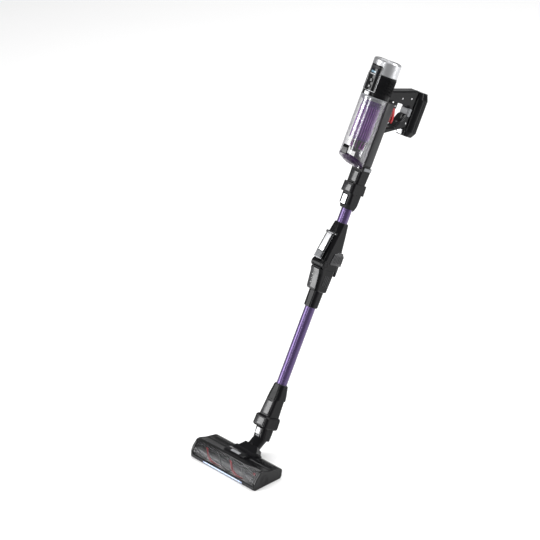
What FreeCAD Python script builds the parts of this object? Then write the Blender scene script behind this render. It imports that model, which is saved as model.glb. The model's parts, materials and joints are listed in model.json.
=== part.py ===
"""A cordless stick vacuum as a parametric document: every piece is its own sub-part.

Two frames are used. The floor nozzle is drawn in the object's own frame: its sole rests
on Z = 0 and its front faces -Y. Everything on the leaning stick is drawn in the stick
frame, whose z runs up the wand from the neck pivot and whose y points to the back, and
is then placed by the lean. Millimetres throughout.
"""
import FreeCAD, Part
import math
import os
import re

import Sketcher
from FreeCAD import Placement, Rotation, Vector

# ---------------------------------------------------------------- driving dimensions
SIZES = {
    # stance
    "lean": 28.7, "pivot_y": 80, "pivot_z": 26,
    # air path and wand
    "duct": 12.5, "wand": 14.75, "wand_wall": 1.2, "sleeve": 14.85, "spigot": 14.3, "socket": 14.6,
    "part_gap": 0.3, "pin_fit": 0.05,
    # stations up the stick
    "foot_low": 140, "foot_high": 181, "knee": 525, "joint_high": 643,
    "coupler_low": 684, "coupler_high": 727, "neck_high": 803, "socket_depth": 30,
    # dust bin
    "bin_y": -56.4, "bin_radius": 36.5, "bin_wall": 1.8, "bin_top": 985, "bin_slope": 19.3,
    "lid_rear": 803, "lid_thick": 5, "cradle": 37.2, "shroud": 24, "shroud_low": 872,
    "lid_pin_y": -24, "lid_pin_z": 798.5, "lid_pin": 1.5,
    # motor housing and exhaust cap
    "pod_y": -53, "pod_radius": 38, "pod_wall": 2.2, "pod_low": 988, "pod_high": 1048, "cap_top": 1090,
    "panel_half": 19.5, "panel_high": 1071, "shaft": 2.5,
    # spine, handle and battery
    "spine_half": 16, "spine_rear": 14, "handle_half": 15, "grip_front": 84, "grip_rear": 96.5,
    "arm_low": 991, "arm_high": 1040, "battery_low": 912, "battery_high": 1036,
    "battery_front": 97, "battery_back": 140, "battery_half": 26, "cell_radius": 9, "cell_length": 58,
    "jack_y": 120, "jack_radius": 4.5, "jack_depth": 9,
    "trigger_y": 26, "trigger_z": 981, "trigger_pin": 2,
    # flex joint
    "knee_y": -27, "knuckle": 12, "knee_gap": 12.3, "cheek_in": 12.4, "cheek_out": 21, "knee_pin": 4,
    "hose": 14, "hose_bore": 15, "lever_y": -27, "lever_z": 612, "lever_pin": 1.5,
    # floor nozzle
    "nozzle_half": 124, "cap_thick": 6, "nozzle_front": -50, "nozzle_rear": 51, "nozzle_top": 47,
    "shell": 2.2, "sole_thick": 4, "brush_y": -29, "brush_z": 17.4, "brush_core": 11, "brush_reach": 16.8,
    "brush_low": -112, "brush_high": 99, "belt_low": 102, "belt_high": 108, "drum": 10.5, "pinion": 4.5,
    "motor_y": 22, "belt_thick": 1.2, "recess_half": 43.5,
    "barrel_y": 38, "barrel_z": 21, "barrel": 16, "barrel_half": 42, "journal": 6,
    "neck_rise": 30, "stub": 14.5, "stub_bore": 11.5, "cup": 18.5, "cup_front": 30, "cup_rear": 61, "stub_end": 43,
    "wheel": 9, "wheel_y": 39, "wheel_in": 108, "wheel_out": 114, "axle": 2,
}

# Rounded-rectangle stations: height, half width, front, rear, corner radius.
STATIONS = {
    "foot0": (140, 21, -21, 24, 13), "foot1": (152, 20.5, -20, 23, 13), "foot2": (181, 17, -17, 17, 12),
    "riser0": (25, 20, -18, 19, 11), "riser1": (57, 19.5, -21, 20, 10), "ring0": (58.5, 23.5, -30, 24, 9),
    "ring1": (62, 25, -33, 26, 9), "ring2": (87, 24.5, -32.5, 25.5, 9), "ring3": (91, 22.5, -29, 23.5, 9),
    "block0": (92, 20, -25.5, 20.5, 8), "block1": (139.7, 18.5, -21.5, 20, 9),
    "lower0": (406, 17, -17, 17, 12), "lower1": (450, 17.5, -17.5, 17.5, 12), "lower2": (453, 20, -26, 22, 9),
    "lower3": (500, 21, -33.5, 24, 10), "lower4": (512.7, 21, -38, 24, 10),
    "upper0": (525, 21, -38, 28, 9), "upper1": (560, 21, -33, 26, 9), "upper2": (606, 19.5, -24, 21, 11),
    "upper3": (643, 17, -17, 17, 12),
    "couple0": (684, 17, -18, 17.5, 11), "couple1": (697, 19, -23.5, 19.5, 9), "couple2": (726.7, 19, -24, 19.5, 8),
    "latch0": (727, 21, -32, 26, 8), "latch1": (755, 20.5, -31, 25, 8),
    "throat0": (755, 19, -22.5, 17.6, 7), "throat1": (803, 20, -22.5, 20, 7),
    "battery0": (912, 19, 100, 132, 10), "battery1": (926, 26, 97, 140, 15),
    "battery2": (1018, 26, 97, 140, 15), "battery3": (1036, 20, 101, 135, 12),
}

doc = FreeCAD.newDocument("StickVacuum")
sheet = doc.addObject("Spreadsheet::Sheet", "Sizes")
FIELDS = ("level", "half", "front", "rear", "corner")
CELLS = dict(SIZES)
for station, row in STATIONS.items():
    CELLS.update({f"{station}_{field}": value for field, value in zip(FIELDS, row)})
for line, (alias, value) in enumerate(CELLS.items(), start=1):
    sheet.set(f"A{line}", alias)
    sheet.set(f"B{line}", str(value))
    sheet.setAlias(f"B{line}", alias)
doc.recompute()

STICK = Placement(Vector(0, SIZES["pivot_y"], SIZES["pivot_z"]), Rotation(Vector(1, 0, 0), -SIZES["lean"]))
ROW = Placement()
TURN = {"x": Rotation(Vector(0, 1, 0), 90), "y": Rotation(Vector(1, 0, 0), -90), "z": Rotation()}
AXES = {"x": Vector(1, 0, 0), "y": Vector(0, 1, 0), "z": Vector(0, 0, 1)}
SUBPARTS = []


# ---------------------------------------------------------------- helpers
def bound(formula):
    """A formula of size names as a spreadsheet expression."""
    return re.sub(r"[a-z]\w*", lambda word: f"Sizes.{word[0]}" if word[0] in CELLS else word[0], str(formula))


def unique(name):
    """A free object name that starts with the given word."""
    return doc.getUniqueObjectName(name)


def bind_place(piece, start):
    """Drive a primitive's position from the sheet."""
    for axis, formula in zip("xyz", start):
        piece.setExpression(f"Placement.Base.{axis}", bound(formula))


def block(low, high, name="block"):
    """A box between two corners."""
    piece = doc.addObject("Part::Box", unique(name))
    bind_place(piece, low)
    for side, first, last in zip(("Length", "Width", "Height"), low, high):
        piece.setExpression(side, bound(f"({last}) - ({first})"))
    return piece


def rod(start, length, radius, axis="z", name="rod"):
    """A cylinder that runs from its start along an axis."""
    piece = doc.addObject("Part::Cylinder", unique(name))
    piece.Placement.Rotation = TURN[axis]
    bind_place(piece, start)
    piece.setExpression("Height", bound(length))
    piece.setExpression("Radius", bound(radius))
    return piece


def fuse(*pieces, name="union"):
    """Several solids joined into one."""
    piece = doc.addObject("Part::MultiFuse", unique(name))
    piece.Shapes = list(pieces)
    piece.Refine = True
    return piece


def cut(base, *tools, name="cut"):
    """A solid with others taken away."""
    piece = doc.addObject("Part::Cut", unique(name))
    piece.Base = base
    piece.Tool = tools[0] if len(tools) == 1 else fuse(*tools)
    return piece


def common(base, tool):
    """What two solids share."""
    piece = doc.addObject("Part::Common", unique("common"))
    piece.Base = base
    piece.Tool = tool
    return piece


def group(*pieces):
    """Separate solids that make one node."""
    piece = doc.addObject("Part::Compound", unique("group"))
    piece.Links = list(pieces)
    return piece


def turned_about(axis, angle, centre, piece):
    """A piece turned about an axis through a point."""
    turn = Rotation(AXES[axis], angle)
    middle = Vector(*centre)
    holder = group(piece)
    holder.Placement = Placement(middle - turn.multVec(middle), turn)
    return holder


def tube(start, length, outer, inner, axis="z"):
    """A round pipe."""
    run = f"({length}) + 2"
    before = [f"({value}) - 1" if letter == axis else value for letter, value in zip("xyz", start)]
    return cut(rod(start, length, outer, axis), rod(before, run, inner, axis))


def plane(body, role):
    """One of a body's own origin planes."""
    return next(feature for feature in body.Origin.OriginFeatures if feature.Role == role)


def attached(body, role):
    """A sketch on an origin plane of its body."""
    sketch = body.newObject("Sketcher::SketchObject", unique("sketch"))
    sketch.AttachmentSupport = (plane(body, role), [""])
    sketch.MapMode = "FlatFace"
    return sketch


def polygon(body, role, points):
    """A closed outline whose corners are formulas."""
    sketch = attached(body, role)
    count = len(points)
    start = [Vector(50 * math.cos(math.tau * k / count), 50 * math.sin(math.tau * k / count), 0)
             for k in range(count)]
    for k in range(count):
        sketch.addGeometry(Part.LineSegment(start[k], start[(k + 1) % count]))
    for k in range(count):
        sketch.addConstraint(Sketcher.Constraint("Coincident", k, 2, (k + 1) % count, 1))
    for k, corner in enumerate(points):
        for kind, formula in zip(("DistanceX", "DistanceY"), corner):
            index = sketch.addConstraint(Sketcher.Constraint(kind, -1, 1, k, 1, 1.0 + k))
            sketch.setExpression(f"Constraints[{index}]", bound(formula))
    return sketch


def slab(points, half, role="YZ_Plane", round_over=None, name="slab"):
    """An outline padded evenly to both sides of its plane, with its rims rounded over."""
    body = doc.addObject("PartDesign::Body", unique(name))
    pad = body.newObject("PartDesign::Pad", unique("pad"))
    pad.Profile = polygon(body, role, points)
    pad.Midplane = True
    pad.setExpression("Length", bound(f"2 * ({half})"))
    if round_over:
        doc.recompute()
        fillet = body.newObject("PartDesign::Fillet", unique("round"))
        fillet.Base = (pad, ["Edge1"])
        fillet.UseAllEdges = True
        fillet.setExpression("Radius", bound(round_over))
    return body


def turned(points, centre_y=0, name="turned"):
    """A radius-height outline spun about an upright axis."""
    body = doc.addObject("PartDesign::Body", unique(name))
    profile = polygon(body, "XZ_Plane", points)
    spin = body.newObject("PartDesign::Revolution", unique("spin"))
    spin.Profile = profile
    spin.ReferenceAxis = (profile, ["V_Axis"])
    body.setExpression("Placement.Base.y", bound(centre_y))
    return body


def station_sketch(body, key):
    """The rounded rectangle of one station."""
    sketch = attached(body, "XY_Plane")
    sketch.setExpression("AttachmentOffset.Base.z", bound(f"{key}_level"))
    _, half, front, rear, corner = STATIONS[key]
    centres = ((half - corner, front + corner), (half - corner, rear - corner),
               (corner - half, rear - corner), (corner - half, front + corner))
    arcs = []
    for quarter, (x, y) in enumerate(centres):
        ends = [math.radians(90 * quarter - 90 + step) for step in (0, 45, 90)]
        arcs.append(Part.Arc(*[Vector(x + corner * math.cos(a), y + corner * math.sin(a), 0) for a in ends]))
    for quarter, arc in enumerate(arcs):
        sketch.addGeometry(arc)
        sketch.addGeometry(Part.LineSegment(arc.EndPoint, arcs[(quarter + 1) % 4].StartPoint))
    for k in range(8):
        sketch.addConstraint(Sketcher.Constraint("Tangent", k, 2, (k + 1) % 8, 1))
    for k, kind in ((1, "Vertical"), (3, "Horizontal"), (5, "Vertical"), (7, "Horizontal")):
        sketch.addConstraint(Sketcher.Constraint(kind, k))
    for k in (2, 4, 6):
        sketch.addConstraint(Sketcher.Constraint("Equal", 0, k))
    radius = sketch.addConstraint(Sketcher.Constraint("Radius", 0, corner))
    sketch.setExpression(f"Constraints[{radius}]", bound(f"{key}_corner"))
    for k, kind, value, formula in ((1, "DistanceX", half, f"{key}_half"), (5, "DistanceX", -half, f"-{key}_half"),
                                    (3, "DistanceY", rear, f"{key}_rear"), (7, "DistanceY", front, f"{key}_front")):
        index = sketch.addConstraint(Sketcher.Constraint(kind, -1, 1, k, 1, value))
        sketch.setExpression(f"Constraints[{index}]", bound(formula))
    return sketch


def moulding(*keys, name="moulding"):
    """A shell form lofted straight through its stations."""
    body = doc.addObject("PartDesign::Body", unique(name))
    sketches = [station_sketch(body, key) for key in keys]
    doc.recompute()
    loft = body.newObject("PartDesign::AdditiveLoft", unique("loft"))
    loft.Profile = sketches[0]
    loft.Sections = sketches[1:]
    loft.Ruled = True
    return body


def tilted_block(low, high, pivot, angle):
    """A box turned about the x direction through a pivot in the stick frame."""
    piece = doc.addObject("Part::Box", unique("wedge"))
    turn = Rotation(Vector(1, 0, 0), angle)
    corner = turn.multVec(Vector(*low)) + Vector(*pivot)
    piece.Placement = Placement(corner, turn)
    for side, first, last in zip(("Length", "Width", "Height"), low, high):
        setattr(piece, side, last - first)
    return piece


def subpart(label, piece, frame=STICK):
    """Name a finished piece, stand it in its frame and list it for writing."""
    if piece.TypeId not in ("Part::Cut", "Part::MultiFuse", "Part::Compound"):
        piece = group(piece)
    piece.Label = label
    piece.Placement = frame
    SUBPARTS.append(piece)


# ---------------------------------------------------------------- main unit
def pod_arc(inner, outer, half, low, high):
    """A front-facing strip of the pod's wall."""
    ring = tube((0, "pod_y", low), f"({high}) - ({low})", outer, inner)
    return common(ring, block((f"-({half})", "pod_y - 60", low), (half, "pod_y", high)))


def main_unit():
    bin_space = rod((0, "bin_y", 790), 200, "cradle")
    throat = fuse(moulding("latch0", "latch1"), moulding("throat0", "throat1"))
    air = rod((0, 0, 720), 90, "duct")
    socket = rod((0, 0, 720), "coupler_high + socket_depth + part_gap - 720", "socket")
    hinge_room = block((-40, -60, 790), (40, -19, 810))
    subpart("duct_connector", cut(throat, air, socket, bin_space, hinge_room))

    column = block(("-spine_half", "-30", "neck_high + part_gap"), ("spine_half", "spine_rear", "pod_low - 0.1"))
    air = rod((0, 0, 800), 160, 9.5)
    port = block((-9, -40, 935), (9, 0, 960))
    screws = [(side * 10, level) for level in (850, 894) for side in (-1, 1)]
    seats = [rod((x, "spine_rear - 3", z), 10, 3, "y") for x, z in screws]
    shanks = [rod((x, "spine_rear - 9", z), 10, 1.55, "y") for x, z in screws]
    subpart("spine", cut(column, bin_space, air, port, *seats, *shanks))
    heads = [fuse(rod((x, "spine_rear - 2.5", z), 1.8, 2.8, "y"), rod((x, "spine_rear - 8.5", z), 7, 1.5, "y"))
             for x, z in screws]
    subpart("spine_screws", group(*heads))

    shell = turned([(26, "pod_low"), ("pod_radius", "pod_low"), ("pod_radius", "pod_high"),
                    ("pod_radius - pod_wall", "pod_high"), ("pod_radius - pod_wall", "pod_low + 2.5"),
                    (26, "pod_low + 2.5")], "pod_y")
    window = block(("-panel_half - 0.3", "pod_y - 60", "pod_low + 12"), ("panel_half + 0.3", "pod_y", 1100))
    tab_hole = block((-7.5, "pod_y - 60", "pod_low - 1"), (7.5, "pod_y - 20", "pod_low + 9.5"))
    slots = [block((-60, f"pod_y + {offset}", "pod_low + 16"), (60, f"pod_y + {offset + 1.6}", "pod_high - 6"))
             for offset in range(-12, 22, 4)]
    subpart("motor_housing", cut(shell, window, tab_hole, *slots))

    holes = [block((-5, "pod_y - 60", level), (5, "pod_y", level + 10)) for level in (1006, 1023)]
    subpart("display_panel", cut(pod_arc(35.8, 38.8, "panel_half", "pod_low + 12.3", "panel_high"), *holes))
    subpart("display_window", pod_arc(38.85, 39.4, 13, 1042, 1066))
    subpart("motor_can", cut(rod((0, "pod_y", 1001), 38, 22), rod((0, "pod_y", 1003), 34, 20),
                             rod((0, "pod_y", 1000), 40, 7.1)))
    races = [tube((0, "pod_y", level), 5, 7, "shaft + pin_fit") for level in (1001.5, 1033.5)]
    subpart("motor_bearings", group(*races))
    spokes = [block((-35.5, "pod_y - 3", 1039.1), (35.5, "pod_y + 3", 1042.5)),
              block((-3, "pod_y - 34", 1039.1), (3, "pod_y + 35.5", 1042.5))]
    subpart("motor_mount", cut(fuse(*spokes, rod((0, "pod_y", 1039.1), 3.4, 20)), rod((0, "pod_y", 1030), 20, 6)))

    outer = [("-25", "arm_low"), ("-25", "arm_high - 26"), ("grip_rear", "arm_high - 2"), ("grip_rear", 934),
             ("grip_rear - 18", 928), ("spine_rear + part_gap", 902), ("spine_rear + part_gap", 919),
             (50, 927), (64, 946), ("grip_front - 5", 959), ("grip_front", 964), ("grip_front", 985), ("grip_front - 6", 991.5),
             (34, 991.5)]
    frame = slab(outer, "handle_half", round_over=4)
    ears = [block((low, "trigger_y - 6", "trigger_z - 6"), (low + 4, "trigger_y + 6", "arm_low + 8")) for low in (-11, 7)]
    pod_space = rod((0, "pod_y", 980), 80, "pod_radius + part_gap")
    pin_hole = rod((-20, "trigger_y", "trigger_z"), 40, "trigger_pin + 0.02", "x")
    lever_space = block((-6.6, "trigger_y - 7", "trigger_z - 8"), (6.6, "trigger_y + 8", "arm_low + 5"))
    subpart("handle_frame", cut(fuse(frame, *ears), pod_space, pin_hole, lever_space))
    subpart("trigger_pin", rod((-11, "trigger_y", "trigger_z"), 22, "trigger_pin", "x"))
    subpart("grip_pad", block((-11, "grip_front - 2.5", 966), (11, "grip_front - 0.2", 984)))

    lever = slab([(22, 986), (31, 986), (36, 975), (43, 957), (45, 942), (42, 933), (38, 934), (37, 951),
                  (30, 966), (22, 974)], 6, round_over=1)
    subpart("trigger", cut(lever, rod((-9, "trigger_y", "trigger_z"), 18, "trigger_pin + pin_fit", "x")))
    for label, level in (("boost_button", 1006), ("power_button", 1023)):
        subpart(label, block((-4.7, "pod_y - 40.2", level + 0.3), (4.7, "pod_y - 33", level + 9.7)))
    subpart("bin_release", block((-7, "pod_y - 40.5", "pod_low + 0.5"), (7, "pod_y - 34", "pod_low + 9")))

    blades = []
    for angle in range(0, 180, 30):
        blade = block((-23, "pod_y - 0.7", 993), (23, "pod_y + 0.7", 998))
        blades.append(turned_about("z", angle, (0, SIZES["pod_y"], 0), blade))
    wheel = fuse(rod((0, "pod_y", 991.5), 1.5, 24), rod((0, "pod_y", 991.5), 6.5, 6), *blades)
    subpart("impeller", cut(wheel, rod((0, "pod_y", 990), 10, "shaft + 0.02")))
    subpart("motor_shaft", fuse(rod((0, "pod_y", 992), 46, "shaft"), rod((0, "pod_y", 1008), 24, 12)))

    cap = turned([("pod_radius", "pod_high + part_gap"), ("pod_radius", "cap_top - 6"),
                  ("pod_radius - 1.8", "cap_top - 1.8"), ("pod_radius - 6", "cap_top"), (0, "cap_top"),
                  (0, "cap_top - 3"), ("pod_radius - 7", "cap_top - 3"), ("pod_radius - 2.5", "cap_top - 8"),
                  ("pod_radius - 2.5", "pod_high + part_gap")], "pod_y")
    notch = block(("-panel_half - 0.5", "pod_y - 60", 1040), ("panel_half + 0.5", "pod_y - 20", "panel_high + 0.5"))
    subpart("exhaust_cap", cut(cap, notch))
    subpart("exhaust_filter", tube((0, "pod_y", 1052), 34, 29, 21))


def battery():
    case = moulding("battery0", "battery1", "battery2", "battery3")
    hollow = block(("-battery_half + 6", "battery_front + 9", 931), ("battery_half - 6", "battery_back - 6", 1019))
    latch_bay = block((-8.4, "battery_front - 5", 914.6), (8.4, "battery_front + 7", 927.4))
    jack_hole = rod((0, "jack_y", 905), 22, "jack_radius + 2.1")
    subpart("battery_case", cut(case, latch_bay, jack_hole, hollow))
    cells = [rod((x, "jack_y - 3.5", level), 42, "cell_radius")
             for level in (932, 976) for x in (-10, 10)]
    subpart("battery_cells", group(*cells))
    subpart("charge_socket", cut(rod((0, "jack_y", "battery_low"), 12, "jack_radius + 2"),
                                 rod((0, "jack_y", "battery_low - 1"), "jack_depth + 1", "jack_radius")))
    subpart("battery_latch", block((-8, "battery_front - 5.5", 915), (8, "battery_front + 3", 927)))


def dust_bin():
    slope_pivot = (0, -20, SIZES["lid_rear"])
    under = tilted_block((-80, -160, -100), (80, 60, 0), slope_pivot, -SIZES["bin_slope"])
    tube_wall = tube((0, "bin_y", 780), "bin_top - 780", "bin_radius", "bin_radius - bin_wall")
    inlet = block((-9, "bin_y + 20", 934), (9, 0, 961))
    subpart("bin_body", cut(tube_wall, under, inlet))
    subpart("bin_rim", turned([(31, "bin_top - 8"), ("bin_radius - bin_wall - 0.1", "bin_top - 8"),
                               ("bin_radius - bin_wall - 0.1", "bin_top + 0.1"), ("bin_radius", "bin_top + 0.1"),
                               ("bin_radius", "bin_top + 2.4"), (31, "bin_top + 2.4")], "bin_y"))
    subpart("pre_filter", rod((0, "bin_y", "bin_top - 7"), 9, 30.8))
    ribs = [rod((f"{24 * math.cos(math.tau * k / 24):.3f}", f"bin_y + {24 * math.sin(math.tau * k / 24):.3f}",
                 "shroud_low + 2"), "bin_top - 11 - shroud_low", 1.2) for k in range(24)]
    drum = turned([("shroud - 2", "shroud_low"), ("shroud", "shroud_low"), ("shroud", "bin_top - 9.5"),
                   (30.5, "bin_top - 9.5"), (30.5, "bin_top - 8.3"), ("shroud - 2", "bin_top - 8.3")], "bin_y")
    subpart("cyclone_shroud", fuse(drum, *ribs))
    subpart("cyclone_cone", turned([(21.5, "shroud_low"), (21.5, "shroud_low + 6"), (19.5, "shroud_low + 6"),
                                    (19.5, "shroud_low"), (9, 836), (11, 836)], "bin_y"))
    knuckles = [tube((low, "lid_pin_y", "lid_pin_z"), 4, 3, "lid_pin + 0.02", "x") for low in (-10, 6)]
    subpart("bin_hinge", group(rod((-10, "lid_pin_y", "lid_pin_z"), 20, "lid_pin", "x"), *knuckles))

    slab_low = -SIZES["part_gap"] - SIZES["lid_thick"]
    sheet_slab = tilted_block((-80, -160, slab_low), (80, 60, -SIZES["part_gap"]), slope_pivot, -SIZES["bin_slope"])
    plate = common(rod((0, "bin_y", 770), 80, "bin_radius"), sheet_slab)
    dish = doc.addObject("Part::Cone", unique("dish"))
    tilt = Rotation(Vector(1, 0, 0), -SIZES["bin_slope"])
    centre = Vector(*slope_pivot) + tilt.multVec(Vector(0, -38.5, slab_low))
    dish.Placement = Placement(centre, tilt.multiply(Rotation(Vector(1, 0, 0), 180)))
    dish.Radius1, dish.Radius2, dish.Height = 28, 17, 7
    middle_ear = rod((-5.7, "lid_pin_y", "lid_pin_z"), 11.4, 3, "x")
    pin_bore = rod((-8, "lid_pin_y", "lid_pin_z"), 16, "lid_pin + pin_fit", "x")
    clearances = [rod((low, "lid_pin_y", "lid_pin_z"), 4.6, 3.4, "x") for low in (-10.3, 5.7)]
    rear_trim = block((-40, "lid_pin_y + 1.2", 790), (40, 0, 830))
    subpart("bin_lid", cut(fuse(cut(fuse(plate, dish), rear_trim), middle_ear), pin_bore, *clearances))
    subpart("lid_latch", slab([("bin_y - bin_radius - 0.5", 824), ("bin_y - bin_radius - 0.5", 847),
                               ("bin_y - bin_radius - 2.5", 848), ("bin_y - bin_radius - 4.2", 840),
                               ("bin_y - bin_radius - 4.2", 826), ("bin_y - bin_radius - 2.5", 823)], 9))


# ---------------------------------------------------------------- wand
def upper_wand():
    spigot = tube((0, 0, "coupler_high - part_gap"), "socket_depth", "spigot", "duct")
    sleeve = rod((0, 0, 680), 22, "sleeve")
    bay = block((-7.4, -40, 694.6), (7.4, -17.4, 720.4))
    air = rod((0, 0, 680), 60, "duct")
    subpart("upper_connector", fuse(cut(moulding("couple0", "couple1", "couple2"), sleeve, bay, air), spigot))
    subpart("wand_button", block((-7, -27, 695), (7, -20.2, 720)))
    subpart("upper_tube", tube((0, 0, 625), 76, "wand", "wand - wand_wall"))

    head = moulding("upper0", "upper1", "upper2", "upper3")
    skirt = block(("-cheek_out", "knee_y", "knee - 12"), ("cheek_out", 24, "knee"))
    cheeks = rod(("-cheek_out", "knee_y", "knee"), "2 * cheek_out", "knuckle", "x")
    tongue = rod(("-cheek_in", "knee_y", "knee"), "2 * cheek_in", 14.2, "x")
    pin_hole = rod((-30, "knee_y", "knee"), 60, "knee_pin + 0.02", "x")
    sleeve = rod((0, 0, 622), 40, "sleeve")
    throat = rod((0, 0, 500), 70, "hose_bore")
    air = rod((0, 0, 560), 70, "duct")
    lever_bay = tilted_block((-12.6, -20, -78), (12.6, 1.6, 4), (0, SIZES["lever_y"], SIZES["lever_z"]), -13.4)
    lugs = [block((low, "lever_y - 3.2", "lever_z - 3.2"), (low + 3, -15, "lever_z + 3.2")) for low in (-16, 13)]
    lever_hole = rod((-20, "lever_y", "lever_z"), 40, "lever_pin + 0.02", "x")
    form = cut(fuse(head, skirt, cheeks), tongue, pin_hole, sleeve, throat, air, lever_bay)
    subpart("flex_upper_housing", cut(fuse(form, *lugs), lever_hole))
    ribs = [block((-15, 33, level), (15, 35, level + 3)) for level in range(504, 562, 8)]
    cover = block((-17, 28.4, 499), (17, 33, 565))
    subpart("flex_rear_cover", fuse(cover, *ribs))
    subpart("flex_pins", group(rod((-20.5, "knee_y", "knee"), 41, "knee_pin", "x"),
                               rod((-16, "lever_y", "lever_z"), 32, "lever_pin", "x")))
    rings = [tube((0, 0, level), 3, "hose", "duct - 1") for level in range(484, 548, 6)]
    subpart("flex_hose", fuse(tube((0, 0, 482), 66, "duct + 0.3", "duct - 1"), *rings))

    plate = tilted_block((-12, -3.2, -76), (12, 0, 0), (0, SIZES["lever_y"], SIZES["lever_z"]), -13.4)
    barrel = rod((-12, "lever_y", "lever_z"), 24, 3, "x")
    foot = tilted_block((-10, -6.5, -75), (10, -3, -58), (0, SIZES["lever_y"], SIZES["lever_z"]), -13.4)
    bore = rod((-14, "lever_y", "lever_z"), 28, "lever_pin + pin_fit", "x")
    subpart("flex_lever", cut(fuse(plate, barrel, foot), bore))


def lower_wand():
    form = moulding("lower0", "lower1", "lower2", "lower3", "lower4")
    knuckle = rod(("-knuckle", "knee_y", "knee"), "2 * knuckle", "knuckle", "x")
    web = block(("-knuckle", "knee_y - 6", 505), ("knuckle", "knee_y + 6", "knee"))
    pin_hole = rod((-30, "knee_y", "knee"), 60, "knee_pin + pin_fit", "x")
    throat = rod((0, 0, 478), 60, "hose_bore")
    sleeve = rod((0, 0, 400), 30, "sleeve")
    air = rod((0, 0, 400), 100, "duct")
    subpart("flex_lower_housing", cut(fuse(form, knuckle, web), pin_hole, throat, sleeve, air))
    subpart("lower_tube", tube((0, 0, 160), 269, "wand", "wand - wand_wall"))
    form = cut(moulding("foot0", "foot1", "foot2"), rod((0, 0, 158), 40, "sleeve"), rod((0, 0, 130), 60, "duct"))
    subpart("foot_collar", fuse(form, tube((0, 0, "foot_low - 28"), 28.5, "spigot", "duct")))


# ---------------------------------------------------------------- neck
def leaned(piece):
    """A piece of the stick, seen from the object's own frame."""
    holder = group(piece)
    holder.Placement = STICK
    return holder


def neck_run(first, last, radius):
    """A cylinder on the steering axis, between two distances from the pitch barrel."""
    run = rod((0, f"barrel_y + {first}", "barrel_z"), f"({last}) - ({first})", radius, "y")
    return turned_about("x", SIZES["neck_rise"], (0, SIZES["barrel_y"], SIZES["barrel_z"]), run)


def neck():
    riser = leaned(moulding("riser0", "riser1", "ring0", "ring1", "ring2", "ring3", "block0", "block1"))
    chamber = neck_run("cup_front - 1", "cup_rear - 3", "stub + pin_fit")
    air = leaned(rod((0, 0, "riser0_level + 1"), 200, "duct"))
    socket = leaned(rod((0, 0, "foot_low - 29"), 40, "socket"))
    bay = leaned(block((-6.9, -30, 38), (6.9, -14.6, 55.6)))
    upper = cut(riser, neck_run("cup_front - 1", "cup_rear", "cup - 2"), air, socket, bay)
    lower = cut(neck_run("cup_front", "cup_rear", "cup"), chamber, air)
    subpart("head_connector", fuse(lower, upper), ROW)
    subpart("head_button", block((-6.5, -25.5, 38.4), (6.5, -18.6, 55.2)))

    barrel = rod(("-barrel_half", "barrel_y", "barrel_z"), "2 * barrel_half", "barrel", "x")
    journals = rod(("-barrel_half - 6", "barrel_y", "barrel_z"), "2 * barrel_half + 12", "journal", "x")
    plan = slab([("-barrel_half + 1", "barrel_y"), (-23, "barrel_y + cup_front - part_gap"),
                 (23, "barrel_y + cup_front - part_gap"), ("barrel_half - 1", "barrel_y")], 13, "XY_Plane")
    plan.setExpression("Placement.Base.z", bound("barrel_z"))
    arm = turned_about("x", SIZES["neck_rise"], (0, SIZES["barrel_y"], SIZES["barrel_z"]), group(plan))
    stub = neck_run("cup_front - 1", "stub_end", "stub")
    mouth = block((-24, 10, 11), (24, "barrel_y", 31))
    subpart("neck_yoke", cut(fuse(barrel, journals, arm, stub), neck_run(-4, 90, "stub_bore"), mouth), ROW)


# ---------------------------------------------------------------- floor nozzle
COVER = [("nozzle_front + 22", 46.5), ("nozzle_front + 32", "nozzle_top"), (5, 39), (41, 31.5), (49.5, 26.5),
         ("nozzle_rear", 22), (48, 8), (45, "sole_thick + part_gap")]
INNER = [("nozzle_front + 22", 44), ("nozzle_front + 32", 44.6), (4.2, 36.8), (40.2, 29.3), (47, 25.5),
         (48.7, 22), (45.8, 9), (43, "sole_thick - 1")]
WINDOW = [("nozzle_front", 9), ("nozzle_front", 19), ("nozzle_front + 6", 31), ("nozzle_front + 21.7", 46.5)]


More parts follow.
